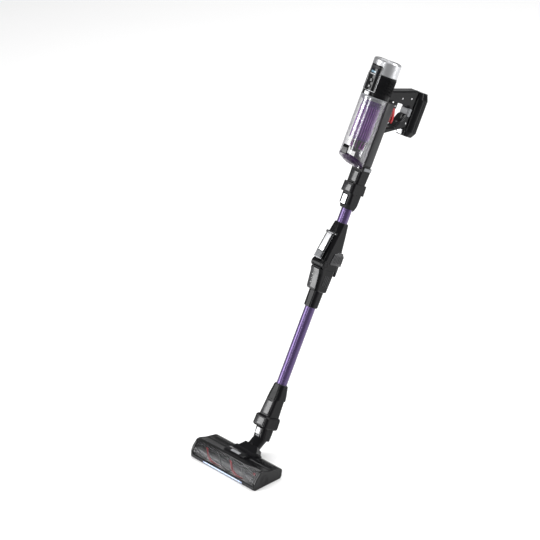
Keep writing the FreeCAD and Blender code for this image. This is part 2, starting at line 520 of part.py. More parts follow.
def nozzle():
    half = "nozzle_half - cap_thick - 0.1"
    low_edge = ("nozzle_front + 22", "sole_thick + part_gap")
    shell = slab([low_edge, *COVER], half)
    hollow = slab([("nozzle_front + 21", 2), ("nozzle_front + 21", 44), *INNER[1:]], half)
    recess = block(("-recess_half", "barrel_y - 5", 0), ("recess_half", 60, 60))
    barrel_space = rod(("-recess_half", "barrel_y", "barrel_z"), "2 * recess_half", "barrel + 0.6", "x")
    wheel_bays = [block((low, 27, 0), (f"{low} + 9", 60, 20)) for low in ("wheel_in - 1.5", "-wheel_out - 1.5")]
    cheeks = [block((low, 20, 5), (low + 5, rear, top)) for low in (43.6, -48.6) for rear, top in ((46, 27.6), (40, 31.2))]
    bores = rod((-60, "barrel_y", "barrel_z"), 120, "journal + pin_fit", "x")
    form = cut(shell, hollow, recess, barrel_space)
    subpart("nozzle_cover", cut(fuse(form, *cheeks), bores, *wheel_bays), ROW)

    outer = slab([*WINDOW, ("nozzle_front + 21.7", 44), ("nozzle_front + 9", 30.5),
                  ("nozzle_front + 2", 18.5), ("nozzle_front + 2", 9)], half)
    subpart("nozzle_window", outer, ROW)
    subpart("light_strip", block((-74, "nozzle_front - 0.8", 2.4), (74, "nozzle_front + 1.6", 7.4)), ROW)

    base = slab([("nozzle_front", 0), ("nozzle_front", 8.7), ("nozzle_front + 5", 8.7), ("nozzle_front + 8", "sole_thick"),
                 (45, "sole_thick"), (45, 0)], half)
    mouth = block(("brush_low - 3", "brush_y - 15", -5), (112, "brush_y + 15", 20))
    lamp_bay = block((-74.3, "nozzle_front - 5", 2.1), (74.3, "nozzle_front + 1.9", 7.7))
    wheel_bays = [block((low, 27, -5), (f"{low} + 9", 60, 20)) for low in ("wheel_in - 1.5", "-wheel_out - 1.5")]
    yoke_bay = block((-43.5, 43, -5), (43.5, 60, 20))
    screws = [(x, y) for x in (-85, 85) for y in (-2, 30)]
    holes = [rod((x, y, -1), 10, 1.55) for x, y in screws] + [rod((x, y, -1), 2.6, 3) for x, y in screws]
    stands = [block((low, 34, "sole_thick - 1"), (f"{low} + 1.2", 44, 14))
              for low in ("wheel_in - 2.9", "wheel_out + 1.6", "-wheel_in + 1.7", "-wheel_out - 2.8")]
    axle_ends = [rod((low, "wheel_y", "wheel"), 8.8, "axle", "x") for low in ("wheel_in - 1.7", "-wheel_out - 1.6")]
    plate = cut(base, mouth, lamp_bay, yoke_bay, *wheel_bays, *holes)
    subpart("sole_plate", fuse(plate, *stands, *axle_ends), ROW)
    heads = [fuse(rod((x, y, 0.3), 1.1, 2.8), rod((x, y, 0.3), 6, 1.5)) for x, y in screws]
    subpart("sole_screws", group(*heads), ROW)

    chamber = rod(("brush_low - 1", "brush_y", "brush_z"), "brush_high - brush_low + 2", "brush_reach + 2.2", "x")
    inside = rod(("brush_low - 3", "brush_y", "brush_z"), "brush_high - brush_low + 6", "brush_reach + 0.8", "x")
    front_cut = block((-130, -60, -10), (130, "brush_y + 1", 60))
    under_cut = block((-130, -60, -10), (130, 20, "sole_thick + part_gap"))
    snout = block((-27, -22, 8), (27, 19, 33))
    snout_room = block((-25, -30, 10), (25, 30, 31))
    subpart("brush_housing", cut(fuse(chamber, snout), inside, snout_room, front_cut, under_cut), ROW)

    def cap_profile(label, low):
        outline = [("nozzle_front", 0), *WINDOW, *COVER[1:6], (48, 6), (44, 0)]
        body = slab(outline, "cap_thick / 2", round_over=2)
        body.Placement.Base = Vector(low + SIZES["cap_thick"] / 2, 0, 0)
        return body
    right_bore = rod((110, "brush_y", "brush_z"), 11, "3 + pin_fit", "x")
    left_bore = rod((-121, "brush_y", "brush_z"), 10, "3 + pin_fit", "x")
    caps = (cut(cap_profile("right", 118), right_bore), cut(cap_profile("left", -124), left_bore))
    subpart("end_caps", group(*caps), ROW)

    subpart("brush_motor", fuse(rod((56, "motor_y", "brush_z"), 42, 12.5, "x"), rod((52, "motor_y", "brush_z"), 4, 6, "x")), ROW)
    axle = rod((-120.5, "brush_y", "brush_z"), 241, 3, "x")
    core = rod(("brush_low", "brush_y", "brush_z"), "brush_high - brush_low", "brush_core", "x")
    drum = rod(("belt_low - 1", "brush_y", "brush_z"), "belt_high - belt_low + 2", "drum", "x")
    subpart("brush_core", fuse(axle, core, drum), ROW)
    subpart("brush_bristles", bristles(), ROW)
    subpart("motor_pinion", fuse(rod(("belt_low - 1", "motor_y", "brush_z"), "belt_high - belt_low + 2", "pinion", "x"),
                                 rod((98.3, "motor_y", "brush_z"), 4, 2, "x")), ROW)
    subpart("drive_belt", belt(), ROW)
    for label, low in (("wheel_right", "wheel_in"), ("wheel_left", "-wheel_out")):
        subpart(label, tube((low, "wheel_y", "wheel"), "wheel_out - wheel_in", "wheel", "axle + pin_fit", "x"), ROW)


def bristles():
    """Two helical rows of bristle on the brush, one twisted strip each."""
    length = SIZES["brush_high"] - SIZES["brush_low"] - 4
    steps = 20
    strips = []
    for start in (0, 180):
        sections = []
        for step in range(steps + 1):
            turn = Rotation(Vector(1, 0, 0), start + 240 * step / steps)
            at = SIZES["brush_low"] + 2 + length * step / steps
            corners = [Vector(at, y, z) for y, z in ((-2, SIZES["brush_core"] + 0.3), (2, SIZES["brush_core"] + 0.3),
                                                     (1.6, SIZES["brush_reach"]), (-1.6, SIZES["brush_reach"]))]
            sections.append(Part.makePolygon([turn.multVec(corner) for corner in [*corners, corners[0]]]))
        strips.append(Part.makeLoft(sections, True, True))
    piece = doc.addObject("Part::Feature", "bristle_strips")
    piece.Shape = Part.makeCompound(strips)
    piece.Placement = Placement(Vector(0, SIZES["brush_y"], SIZES["brush_z"]), Rotation())
    return group(piece)


def belt():
    """The flat belt round the brush drum and the motor pinion."""
    reach = SIZES["motor_y"] - SIZES["brush_y"]
    lift = (SIZES["drum"] - SIZES["pinion"]) / reach
    side = math.sqrt(1 - lift * lift)

    def loop(extra):
        big, small = SIZES["drum"] + extra, SIZES["pinion"] + extra
        top = [Vector(0, big * lift, big * side), Vector(0, reach + small * lift, small * side)]
        low = [Vector(0, point.y, -point.z) for point in top]
        edges = [Part.LineSegment(top[0], top[1]).toShape(),
                 Part.Arc(top[1], Vector(0, reach + small, 0), low[1]).toShape(),
                 Part.LineSegment(low[1], low[0]).toShape(),
                 Part.Arc(low[0], Vector(0, -big, 0), top[0]).toShape()]
        width = SIZES["belt_high"] - SIZES["belt_low"]
        return Part.Face(Part.Wire(edges)).extrude(Vector(width, 0, 0))
    piece = doc.addObject("Part::Feature", "belt_loop")
    piece.Shape = loop(SIZES["part_gap"] + SIZES["belt_thick"]).cut(loop(SIZES["part_gap"]))
    piece.Placement = Placement(Vector(SIZES["belt_low"], SIZES["brush_y"], SIZES["brush_z"]), Rotation())
    return group(piece)


def write():
    """Check every object and write one file for each sub-part."""
    doc.recompute()
    for thing in doc.Objects:
        if "Invalid" in thing.State or "Error" in thing.State:
            raise RuntimeError(f"{thing.Label} failed: {thing.State}")
    os.makedirs("parts", exist_ok=True)
    for piece in SUBPARTS:
        if piece.Shape.isNull() or not piece.Shape.isValid():
            raise RuntimeError(f"{piece.Label} has no valid shape")
        piece.Shape.exportStep(f"parts/{piece.Label}.step")
        print(f"{piece.Label}: {len(piece.Shape.Solids)} solid(s), {piece.Shape.Volume / 1000:.1f} cm3")
    print(len(SUBPARTS), "sub-parts")


main_unit()
battery()
dust_bin()
upper_wand()
lower_wand()
neck()
nozzle()
write()
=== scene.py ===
"""A cordless stick vacuum cleaner, finished and lit around its packed engineering model."""

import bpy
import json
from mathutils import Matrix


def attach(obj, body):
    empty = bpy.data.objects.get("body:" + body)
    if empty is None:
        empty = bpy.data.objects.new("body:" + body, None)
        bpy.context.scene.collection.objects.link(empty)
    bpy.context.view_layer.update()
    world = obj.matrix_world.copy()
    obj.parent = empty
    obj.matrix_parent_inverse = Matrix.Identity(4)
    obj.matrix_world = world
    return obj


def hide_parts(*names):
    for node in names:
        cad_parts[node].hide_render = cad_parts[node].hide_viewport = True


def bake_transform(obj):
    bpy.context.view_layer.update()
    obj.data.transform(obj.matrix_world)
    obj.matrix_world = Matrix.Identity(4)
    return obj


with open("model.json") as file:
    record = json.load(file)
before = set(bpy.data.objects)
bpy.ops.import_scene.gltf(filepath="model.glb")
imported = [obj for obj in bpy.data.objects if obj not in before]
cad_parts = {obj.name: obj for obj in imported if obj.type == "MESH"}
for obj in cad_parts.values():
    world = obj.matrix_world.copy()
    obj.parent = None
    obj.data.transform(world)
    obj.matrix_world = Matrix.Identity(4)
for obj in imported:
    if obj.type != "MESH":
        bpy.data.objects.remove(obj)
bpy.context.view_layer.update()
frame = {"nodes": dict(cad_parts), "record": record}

import json
import logging
import math
from dataclasses import dataclass, field
from enum import Enum
from typing import Callable, Iterable

import bmesh
import bpy
from mathutils import Matrix, Vector

logging.basicConfig(level=logging.INFO, format="%(levelname)s %(message)s")
log = logging.getLogger("vacuum")

Colour = tuple[float, float, float]
Point = tuple[float, float, float]

MM = 0.001
LEAN = math.radians(28.7)
STICK = Matrix.Translation((0, 80, 26)) @ Matrix.Rotation(-LEAN, 4, "X")
ROW = Matrix.Identity(4)
POD_Y, BIN_Y = -53.0, -56.4
POD = Matrix.Translation((0, POD_Y, 0))
BIN_SLOPE = math.radians(19.3)
KNEE = (-27.0, 525.0)
LEVER = (-27.0, 612.0)
LEVER_TILT = math.radians(13.4)


# ------------------------------------------------------------------ shader sums
class Signal:
    """One shader socket that can be used in sums."""

    def __init__(self, graph: "Graph", socket: bpy.types.NodeSocket) -> None:
        """Wrap a socket.

        Args:
            graph: the node tree the socket belongs to.
            socket: the output to carry on from.
        """
        self.graph = graph
        self.socket = socket

    def math(self, operation: str, *others: "Signal | float", clamp: bool = False) -> "Signal":
        """Add a Math node.

        Args:
            operation: the Math node's operation.
            others: the further inputs, after this one.
            clamp: whether the result stays between 0 and 1.

        Returns:
            The result.
        """
        node = self.graph.node("ShaderNodeMath", {"operation": operation, "use_clamp": clamp},
                               dict(enumerate((self, *others))))
        return Signal(self.graph, node.outputs[0])

    def _swap(self, operation: str, other: float) -> "Signal":
        """A Math node whose first input is a number and whose second is this signal."""
        node = self.graph.node("ShaderNodeMath", {"operation": operation}, {0: other, 1: self})
        return Signal(self.graph, node.outputs[0])

    def __add__(self, other: "Signal | float") -> "Signal":
        """Sum."""
        return self.math("ADD", other)

    def __radd__(self, other: float) -> "Signal":
        """Sum, number first."""
        return self._swap("ADD", other)

    def __sub__(self, other: "Signal | float") -> "Signal":
        """Difference."""
        return self.math("SUBTRACT", other)

    def __rsub__(self, other: float) -> "Signal":
        """Difference, number first."""
        return self._swap("SUBTRACT", other)

    def __mul__(self, other: "Signal | float") -> "Signal":
        """Product."""
        return self.math("MULTIPLY", other)

    def __rmul__(self, other: float) -> "Signal":
        """Product, number first."""
        return self._swap("MULTIPLY", other)

    def __truediv__(self, other: "Signal | float") -> "Signal":
        """Quotient."""
        return self.math("DIVIDE", other)

    def __pow__(self, other: "Signal | float") -> "Signal":
        """Power."""
        return self.math("POWER", other)

    def step(self, low: float, high: float) -> "Signal":
        """0 below low, 1 above high, smooth between."""
        node = self.graph.node("ShaderNodeMapRange", {"interpolation_type": "SMOOTHSTEP"},
                               {"Value": self, "From Min": low, "From Max": high})
        return Signal(self.graph, node.outputs[0])


class Graph:
    """A material's node tree, built from one node-making method."""

    def __init__(self, name: str) -> None:
        """Start an empty material.

        Args:
            name: the material's name.
        """
        self.material = bpy.data.materials.new(name)
        self.material.use_nodes = True
        self.tree = self.material.node_tree
        self.tree.nodes.clear()
        self.place = Signal(self, self.node("ShaderNodeTexCoord").outputs["Object"])

    def node(self, kind: str, settings: dict | None = None, sockets: dict | None = None) -> bpy.types.Node:
        """Add a node.

        Args:
            kind: the node's type.
            settings: its own properties, which are set first.
            sockets: values or signals for its inputs, by name or number.

        Returns:
            The node.
        """
        node = self.tree.nodes.new(kind)
        for key, value in (settings or {}).items():
            setattr(node, key, value)
        for key, value in (sockets or {}).items():
            if isinstance(value, Signal):
                self.tree.links.new(value.socket, node.inputs[key])
            else:
                node.inputs[key].default_value = value
        return node

    def stretched(self, scale: Point, turn: float = 0.0) -> Signal:
        """Object coordinates, turned about x and scaled.

        Args:
            scale: the factor along each axis.
            turn: the angle about x, in radians.

        Returns:
            The coordinates.
        """
        node = self.node("ShaderNodeMapping", {"vector_type": "POINT"},
                         {"Vector": self.place, "Rotation": (turn, 0, 0), "Scale": scale})
        return Signal(self, node.outputs[0])

    def noise(self, scale: float, detail: float = 2.0, vector: Signal | None = None) -> Signal:
        """Soft noise between about 0.3 and 0.7."""
        node = self.node("ShaderNodeTexNoise", {}, {"Vector": vector or self.place, "Scale": scale,
                                                    "Detail": detail, "Roughness": 0.6})
        return Signal(self, node.outputs["Fac"])

    def cells(self, scale: float, vector: Signal | None = None) -> Signal:
        """Distance to the middle of the nearest cell."""
        node = self.node("ShaderNodeTexVoronoi", {}, {"Vector": vector or self.place, "Scale": scale})
        return Signal(self, node.outputs["Distance"])

    def split(self, vector: Signal) -> tuple[Signal, Signal, Signal]:
        """The three parts of a vector."""
        node = self.node("ShaderNodeSeparateXYZ", {}, {0: vector})
        return tuple(Signal(self, output) for output in node.outputs)

    def mix(self, factor: Signal | float, first: Signal | Colour, second: Signal | Colour) -> Signal:
        """Blend two colours.

        Args:
            factor: 0 for the first colour, 1 for the second.
            first: the first colour.
            second: the second colour.

        Returns:
            The blended colour.
        """
        node = self.node("ShaderNodeMix", {"data_type": "RGBA"})
        for index, value in ((0, factor), (6, first), (7, second)):
            if isinstance(value, Signal):
                self.tree.links.new(value.socket, node.inputs[index])
            elif index:
                node.inputs[index].default_value = (*value, 1)
            else:
                node.inputs[index].default_value = value
        return Signal(self, node.outputs[2])

    def relief(self, height: Signal, strength: float, depth: float, round_over: float = 0.0) -> Signal:
        """A bumped normal.

        Args:
            height: the surface's height, 0 to 1.
            strength: how much of it shows.
            depth: the height's full scale, in metres.
            round_over: the radius that edges are eased by, in metres.

        Returns:
            The normal.
        """
        sockets: dict = {"Height": height, "Strength": strength, "Distance": depth}
        if round_over:
            eased = self.node("ShaderNodeBevel", {"samples": 4}, {"Radius": round_over})
            sockets["Normal"] = Signal(self, eased.outputs[0])
        return Signal(self, self.node("ShaderNodeBump", {}, sockets).outputs[0])

    def shader(self, **sockets: "Signal | float | Point") -> Signal:
        """A Principled shader.

        Args:
            sockets: the shader's inputs, with underscores for spaces.

        Returns:
            The shader's output.
        """
        named = {key.replace("_", " "): value for key, value in sockets.items()}
        for key in ("Base Color", "Emission Color", "Sheen Tint", "Specular Tint"):
            if key in named and not isinstance(named[key], Signal):
                named[key] = (*named[key], 1)
        return Signal(self, self.node("ShaderNodeBsdfPrincipled", {}, named).outputs[0])

    def close(self, shader: Signal) -> bpy.types.Material:
        """Link the last shader to the output."""
        self.node("ShaderNodeOutputMaterial", {}, {0: shader})
        return self.material

    def surface(self, **sockets: "Signal | float | Point") -> bpy.types.Material:
        """A material of one Principled shader, with the shader's inputs."""
        return self.close(self.shader(**sockets))


def shade(colour: Colour, factor: float) -> Colour:
    """A colour made lighter or darker."""
    return tuple(min(part * factor, 1.0) for part in colour)


# ------------------------------------------------------------------ finishes
@dataclass(frozen=True)
class Moulded:
    """Moulded plastic: a grained skin, faint drift of colour, shine that handling has changed."""

    name: str
    colour: Colour
    shine: float
    grain: float = 0.25
    size: float = 1500.0
    coat: float = 0.0
    gloss: float = 0.4
    drift: float = 0.12
    round_over: float = 0.0009

    def material(self) -> bpy.types.Material:
        """Build the material."""
        graph = Graph(self.name)
        broad = graph.noise(16.0, 3.0).step(0.35, 0.65)
        skin = graph.cells(self.size) * 0.6 + graph.noise(self.size * 1.4, 1.0) * 0.4
        handled = graph.noise(38.0, 5.0).step(0.4, 0.66)
        specks = graph.noise(900.0, 2.0).step(0.66, 0.74)
        tone = graph.mix(broad, shade(self.colour, 1 - self.drift), shade(self.colour, 1 + self.drift))
        tone = graph.mix(specks * 0.15, tone, shade(self.colour, 1.6))
        return graph.surface(Base_Color=tone, Roughness=self.shine + (handled - 0.5) * 0.1,
                             Coat_Weight=self.coat, Coat_Roughness=0.08, Specular_IOR_Level=self.gloss,
                             Normal=graph.relief(skin, self.grain, 0.00012, self.round_over))


@dataclass(frozen=True)
class Metallic:
    """Satin paint or anodised metal: fine flake, faint lines drawn along the part."""

    name: str
    colour: Colour
    shine: float
    metal: float = 0.85
    lines: float = 0.2
    along: Point = (900.0, 900.0, 14.0)
    coat: float = 0.3
    round_over: float = 0.0008

    def material(self) -> bpy.types.Material:
        """Build the material."""
        graph = Graph(self.name)
        drawn = graph.noise(1.0, 3.0, graph.stretched(self.along, LEAN))
        flake = graph.noise(2600.0, 2.0)
        wear = graph.noise(30.0, 4.0).step(0.38, 0.68)
        tone = graph.mix(flake.step(0.42, 0.7), shade(self.colour, 0.95), shade(self.colour, 1.07))
        tone = graph.mix(drawn.step(0.35, 0.7) * 0.2, tone, shade(self.colour, 0.85))
        height = drawn * 0.7 + flake * 0.3
        return graph.surface(Base_Color=tone, Metallic=self.metal,
                             Coat_Weight=self.coat, Coat_Roughness=0.12,
                             Roughness=self.shine + (wear - 0.5) * 0.04 + (drawn - 0.5) * 0.06,
                             Normal=graph.relief(height, self.lines, 0.00005, self.round_over))


@dataclass(frozen=True)
class Clear:
    """Clear or smoked plastic: thin body, firmer colour where it is seen edge on."""

    name: str
    colour: Colour
    body: float
    rim: float
    mirror: float
    shine: float = 0.05
    haze: float = 0.06

    def material(self) -> bpy.types.Material:
        """Build the material."""
        graph = Graph(self.name)
        facing = Signal(graph, graph.node("ShaderNodeLayerWeight", {}, {"Blend": 0.5}).outputs["Facing"])
        scuffs = graph.noise(1.0, 4.0, graph.stretched((260.0, 260.0, 30.0), LEAN)).step(0.5, 0.75)
        dust = graph.noise(60.0, 5.0).step(0.45, 0.7)
        normal = graph.relief(scuffs, 0.01, 0.00002)
        alpha = self.body + facing ** 4.0 * self.rim + dust * self.haze
        tone = graph.mix(dust * 0.5, self.colour, shade(self.colour, 1.3))
        body = graph.shader(Base_Color=tone, Alpha=alpha, Roughness=0.3 + scuffs * 0.1,
                            Specular_IOR_Level=0.2, Normal=normal)
        gleam = graph.mix(dust, (0.95, 0.95, 0.97), (0.8, 0.8, 0.84))
        polish = graph.shader(Base_Color=gleam, Metallic=1.0, Roughness=self.shine + scuffs * 0.03)
        share = facing ** 4.0 * 0.35 + self.mirror
        mixed = graph.node("ShaderNodeMixShader", {}, {0: share, 1: body, 2: polish})
        return graph.close(Signal(graph, mixed.outputs[0]))


@dataclass(frozen=True)
class Pleated:
    """Felt or foam: soft fibres and open pores, with painted shade darkening each pore."""

    name: str
    colour: Colour
    pores: float

    def material(self) -> bpy.types.Material:
        """Build the material."""
        graph = Graph(self.name)
        pore_pits_and_shade = graph.cells(self.pores)
        fibre = graph.noise(self.pores * 2.2, 4.0)
        # Painted shade: each pore is darkened, as if shade lay in it
        tone = graph.mix(pore_pits_and_shade.step(0.1, 0.6), shade(self.colour, 0.6), shade(self.colour, 1.15))
        tone = graph.mix(fibre.step(0.45, 0.7) * 0.4, tone, shade(self.colour, 1.5))
        return graph.surface(Base_Color=tone, Roughness=0.92, Sheen_Weight=0.25,
                             Normal=graph.relief(pore_pits_and_shade * 0.7 + fibre * 0.3, 0.6, 0.0004))


@dataclass(frozen=True)
class Glow:
    """A lit surface behind a lens, brighter in spots."""

    name: str
    colour: Colour
    power: float
    pitch: float

    def material(self) -> bpy.types.Material:
        """Build the material."""
        graph = Graph(self.name)
        across, _, _ = graph.split(graph.place)
        wave = (across * (math.tau / self.pitch)).math("COSINE") * 0.5 + 0.5
        lens = graph.noise(420.0, 2.0)
        tone = graph.mix(wave.step(0.1, 0.95), shade(self.colour, 0.62), self.colour)
        return graph.surface(Base_Color=tone, Emission_Color=tone, Emission_Strength=self.power,
                             Roughness=0.18, Coat_Weight=0.5, Normal=graph.relief(lens, 0.1, 0.0001))


@dataclass(frozen=True)
class Twotone:
    """Two colours wound along a roller in a helix."""

    name: str
    first: Colour
    second: Colour
    lead: float
    centre: tuple[float, float]

    def material(self) -> bpy.types.Material:
        """Build the material."""
        graph = Graph(self.name)
        across, depth, height = graph.split(graph.place)
        angle = (height - self.centre[1]).math("ARCTAN2", depth - self.centre[0])
        turn = (angle / math.tau + across / self.lead).math("FRACT")
        band = turn.step(0.47, 0.5) * (1 - turn.step(0.97, 1.0))
        hair = graph.noise(1.0, 3.0, graph.stretched((2200.0, 500.0, 500.0)))
        tone = graph.mix(band, self.first, self.second)
        tone = graph.mix(hair.step(0.4, 0.68) * 0.5, tone, (0.01, 0.008, 0.01))
        return graph.surface(Base_Color=tone, Roughness=0.62, Sheen_Weight=0.2,
                             Normal=graph.relief(hair, 0.7, 0.0005))


@dataclass(frozen=True)
class Ground:
    """A matt painted floor with the faintest mottling."""

    name: str
    colour: Colour

    def material(self) -> bpy.types.Material:
        """Build the material."""
        graph = Graph(self.name)
        mottle = graph.noise(3.0, 4.0)
        fine = graph.noise(240.0, 2.0)
        tone = graph.mix(mottle, shade(self.colour, 0.985), self.colour)
        return graph.surface(Base_Color=tone, Roughness=0.75 + (fine - 0.5) * 0.1,
                             Normal=graph.relief(fine, 0.04, 0.0002))


Finish = Moulded | Metallic | Clear | Pleated | Glow | Twotone | Ground


class Slot(Enum):
    """The finishes of the object, by the record's slot names."""

    BLACK = "black_plastic"
    GLOSS = "gloss_black"
    GREY = "grey_plastic"
    DARK = "dark_grey_plastic"
    SILVER = "silver"
    TUBE = "violet_metal"
    CLEAR = "clear_plastic"
    VIOLET = "violet_plastic"
    LID = "lid_plastic"
    RED = "red_plastic"
    WHITE = "white_plastic"
    LAMP = "lamp"
    SCREEN = "screen"
    SMOKE = "smoke_window"
    STEEL = "steel"
    COPPER = "copper_black"
    FILTER = "filter"
    RUBBER = "rubber"
    BRISTLE = "bristle"
    CELLS = "cell_wrap"


FINISHES: dict[Slot, Finish] = {
    Slot.BLACK: Moulded("fine_black_moulding", (0.0045, 0.0045, 0.0052), 0.21, 0.10, gloss=0.13),
    Slot.GLOSS: Moulded("polished_black", (0.003, 0.003, 0.0035), 0.08, 0.03, gloss=0.28),
    Slot.GREY: Moulded("light_grey_moulding", (0.20, 0.205, 0.215), 0.4, gloss=0.35),
    Slot.DARK: Moulded("dark_grey_moulding", (0.022, 0.022, 0.024), 0.38, 0.35, gloss=0.25),
    Slot.SILVER: Metallic("satin_silver", (0.54, 0.545, 0.56), 0.33, 1.0, 0.02, coat=0.0),
    Slot.TUBE: Metallic("anodised_violet", (0.085, 0.055, 0.145), 0.27, 0.7, 0.1, coat=0.15),
    Slot.CLEAR: Clear("clear_bin", (0.035, 0.02, 0.05), 0.05, 0.95, 0.085, 0.17, 0.03),
    Slot.VIOLET: Moulded("violet_moulding", (0.060, 0.012, 0.13), 0.3, 0.1, gloss=0.2),
    Slot.LID: Moulded("plum_grey_lid", (0.020, 0.010, 0.030), 0.16, 0.05, gloss=0.3),
    Slot.RED: Moulded("red_moulding", (0.40, 0.004, 0.008), 0.28, 0.1, gloss=0.4),
    Slot.WHITE: Moulded("white_moulding", (0.66, 0.66, 0.67), 0.32, 0.1, gloss=0.5),
    Slot.LAMP: Glow("lamp_strip", (0.50, 0.62, 0.92), 0.3, 0.0125),
    Slot.SCREEN: Moulded("dark_screen", (0.006, 0.007, 0.010), 0.08, 0.02, gloss=0.3),
    Slot.SMOKE: Clear("smoked_window", (0.004, 0.004, 0.005), 0.16, 0.5, 0.006, 0.12, 0.01),
    Slot.STEEL: Metallic("plain_steel", (0.50, 0.50, 0.51), 0.25, 1.0, coat=0.0),
    Slot.COPPER: Metallic("blackened_alloy", (0.05, 0.045, 0.04), 0.35, 0.9),
    Slot.FILTER: Pleated("filter_felt", (0.42, 0.43, 0.47), 900.0),
    Slot.RUBBER: Moulded("soft_rubber", (0.006, 0.006, 0.0065), 0.6, 0.5, 1100.0, gloss=0.15),
    Slot.BRISTLE: Twotone("brush_fibres", (0.70, 0.006, 0.03), (0.010, 0.008, 0.010), 0.095,
                          (-0.029, 0.0174)),
    Slot.CELLS: Moulded("cell_sleeve", (0.02, 0.12, 0.26), 0.3, 0.05, coat=0.4),
}
PLATE = Moulded("satin_plate", (0.020, 0.020, 0.022), 0.2, 0.06, gloss=0.45)
TUFT_RED = Moulded("red_tuft", (0.60, 0.006, 0.025), 0.55, 0.5, 2600.0)
TUFT_GREY = Moulded("grey_tuft", (0.075, 0.075, 0.08), 0.6, 0.5, 2600.0)
CYCLONE_RIB = Moulded("bright_violet_ribs", (0.27, 0.07, 0.40), 0.25, 0.06, coat=0.3)
VANE = Moulded("magenta_vanes", (0.26, 0.03, 0.30), 0.25, 0.05, coat=0.5)
GAUGE = Glow("gauge_light", (0.16, 0.28, 0.36), 0.25, 0.0038)
LENS = Glow("lamp_lens", (0.85, 0.92, 1.0), 0.7, 0.012)
BRIGHT = Metallic("bright_silver", (0.9, 0.9, 0.92), 0.3, 0.6, 0.02)


class Palette:
    """Makes each finish's material once."""

    def __init__(self) -> None:
        """Start with no materials."""
        self.made: dict[Finish, bpy.types.Material] = {}

    def get(self, finish: Finish) -> bpy.types.Material:
        """The material of a finish."""
        if finish not in self.made:
            self.made[finish] = finish.material()
        return self.made[finish]


PALETTE = Palette()


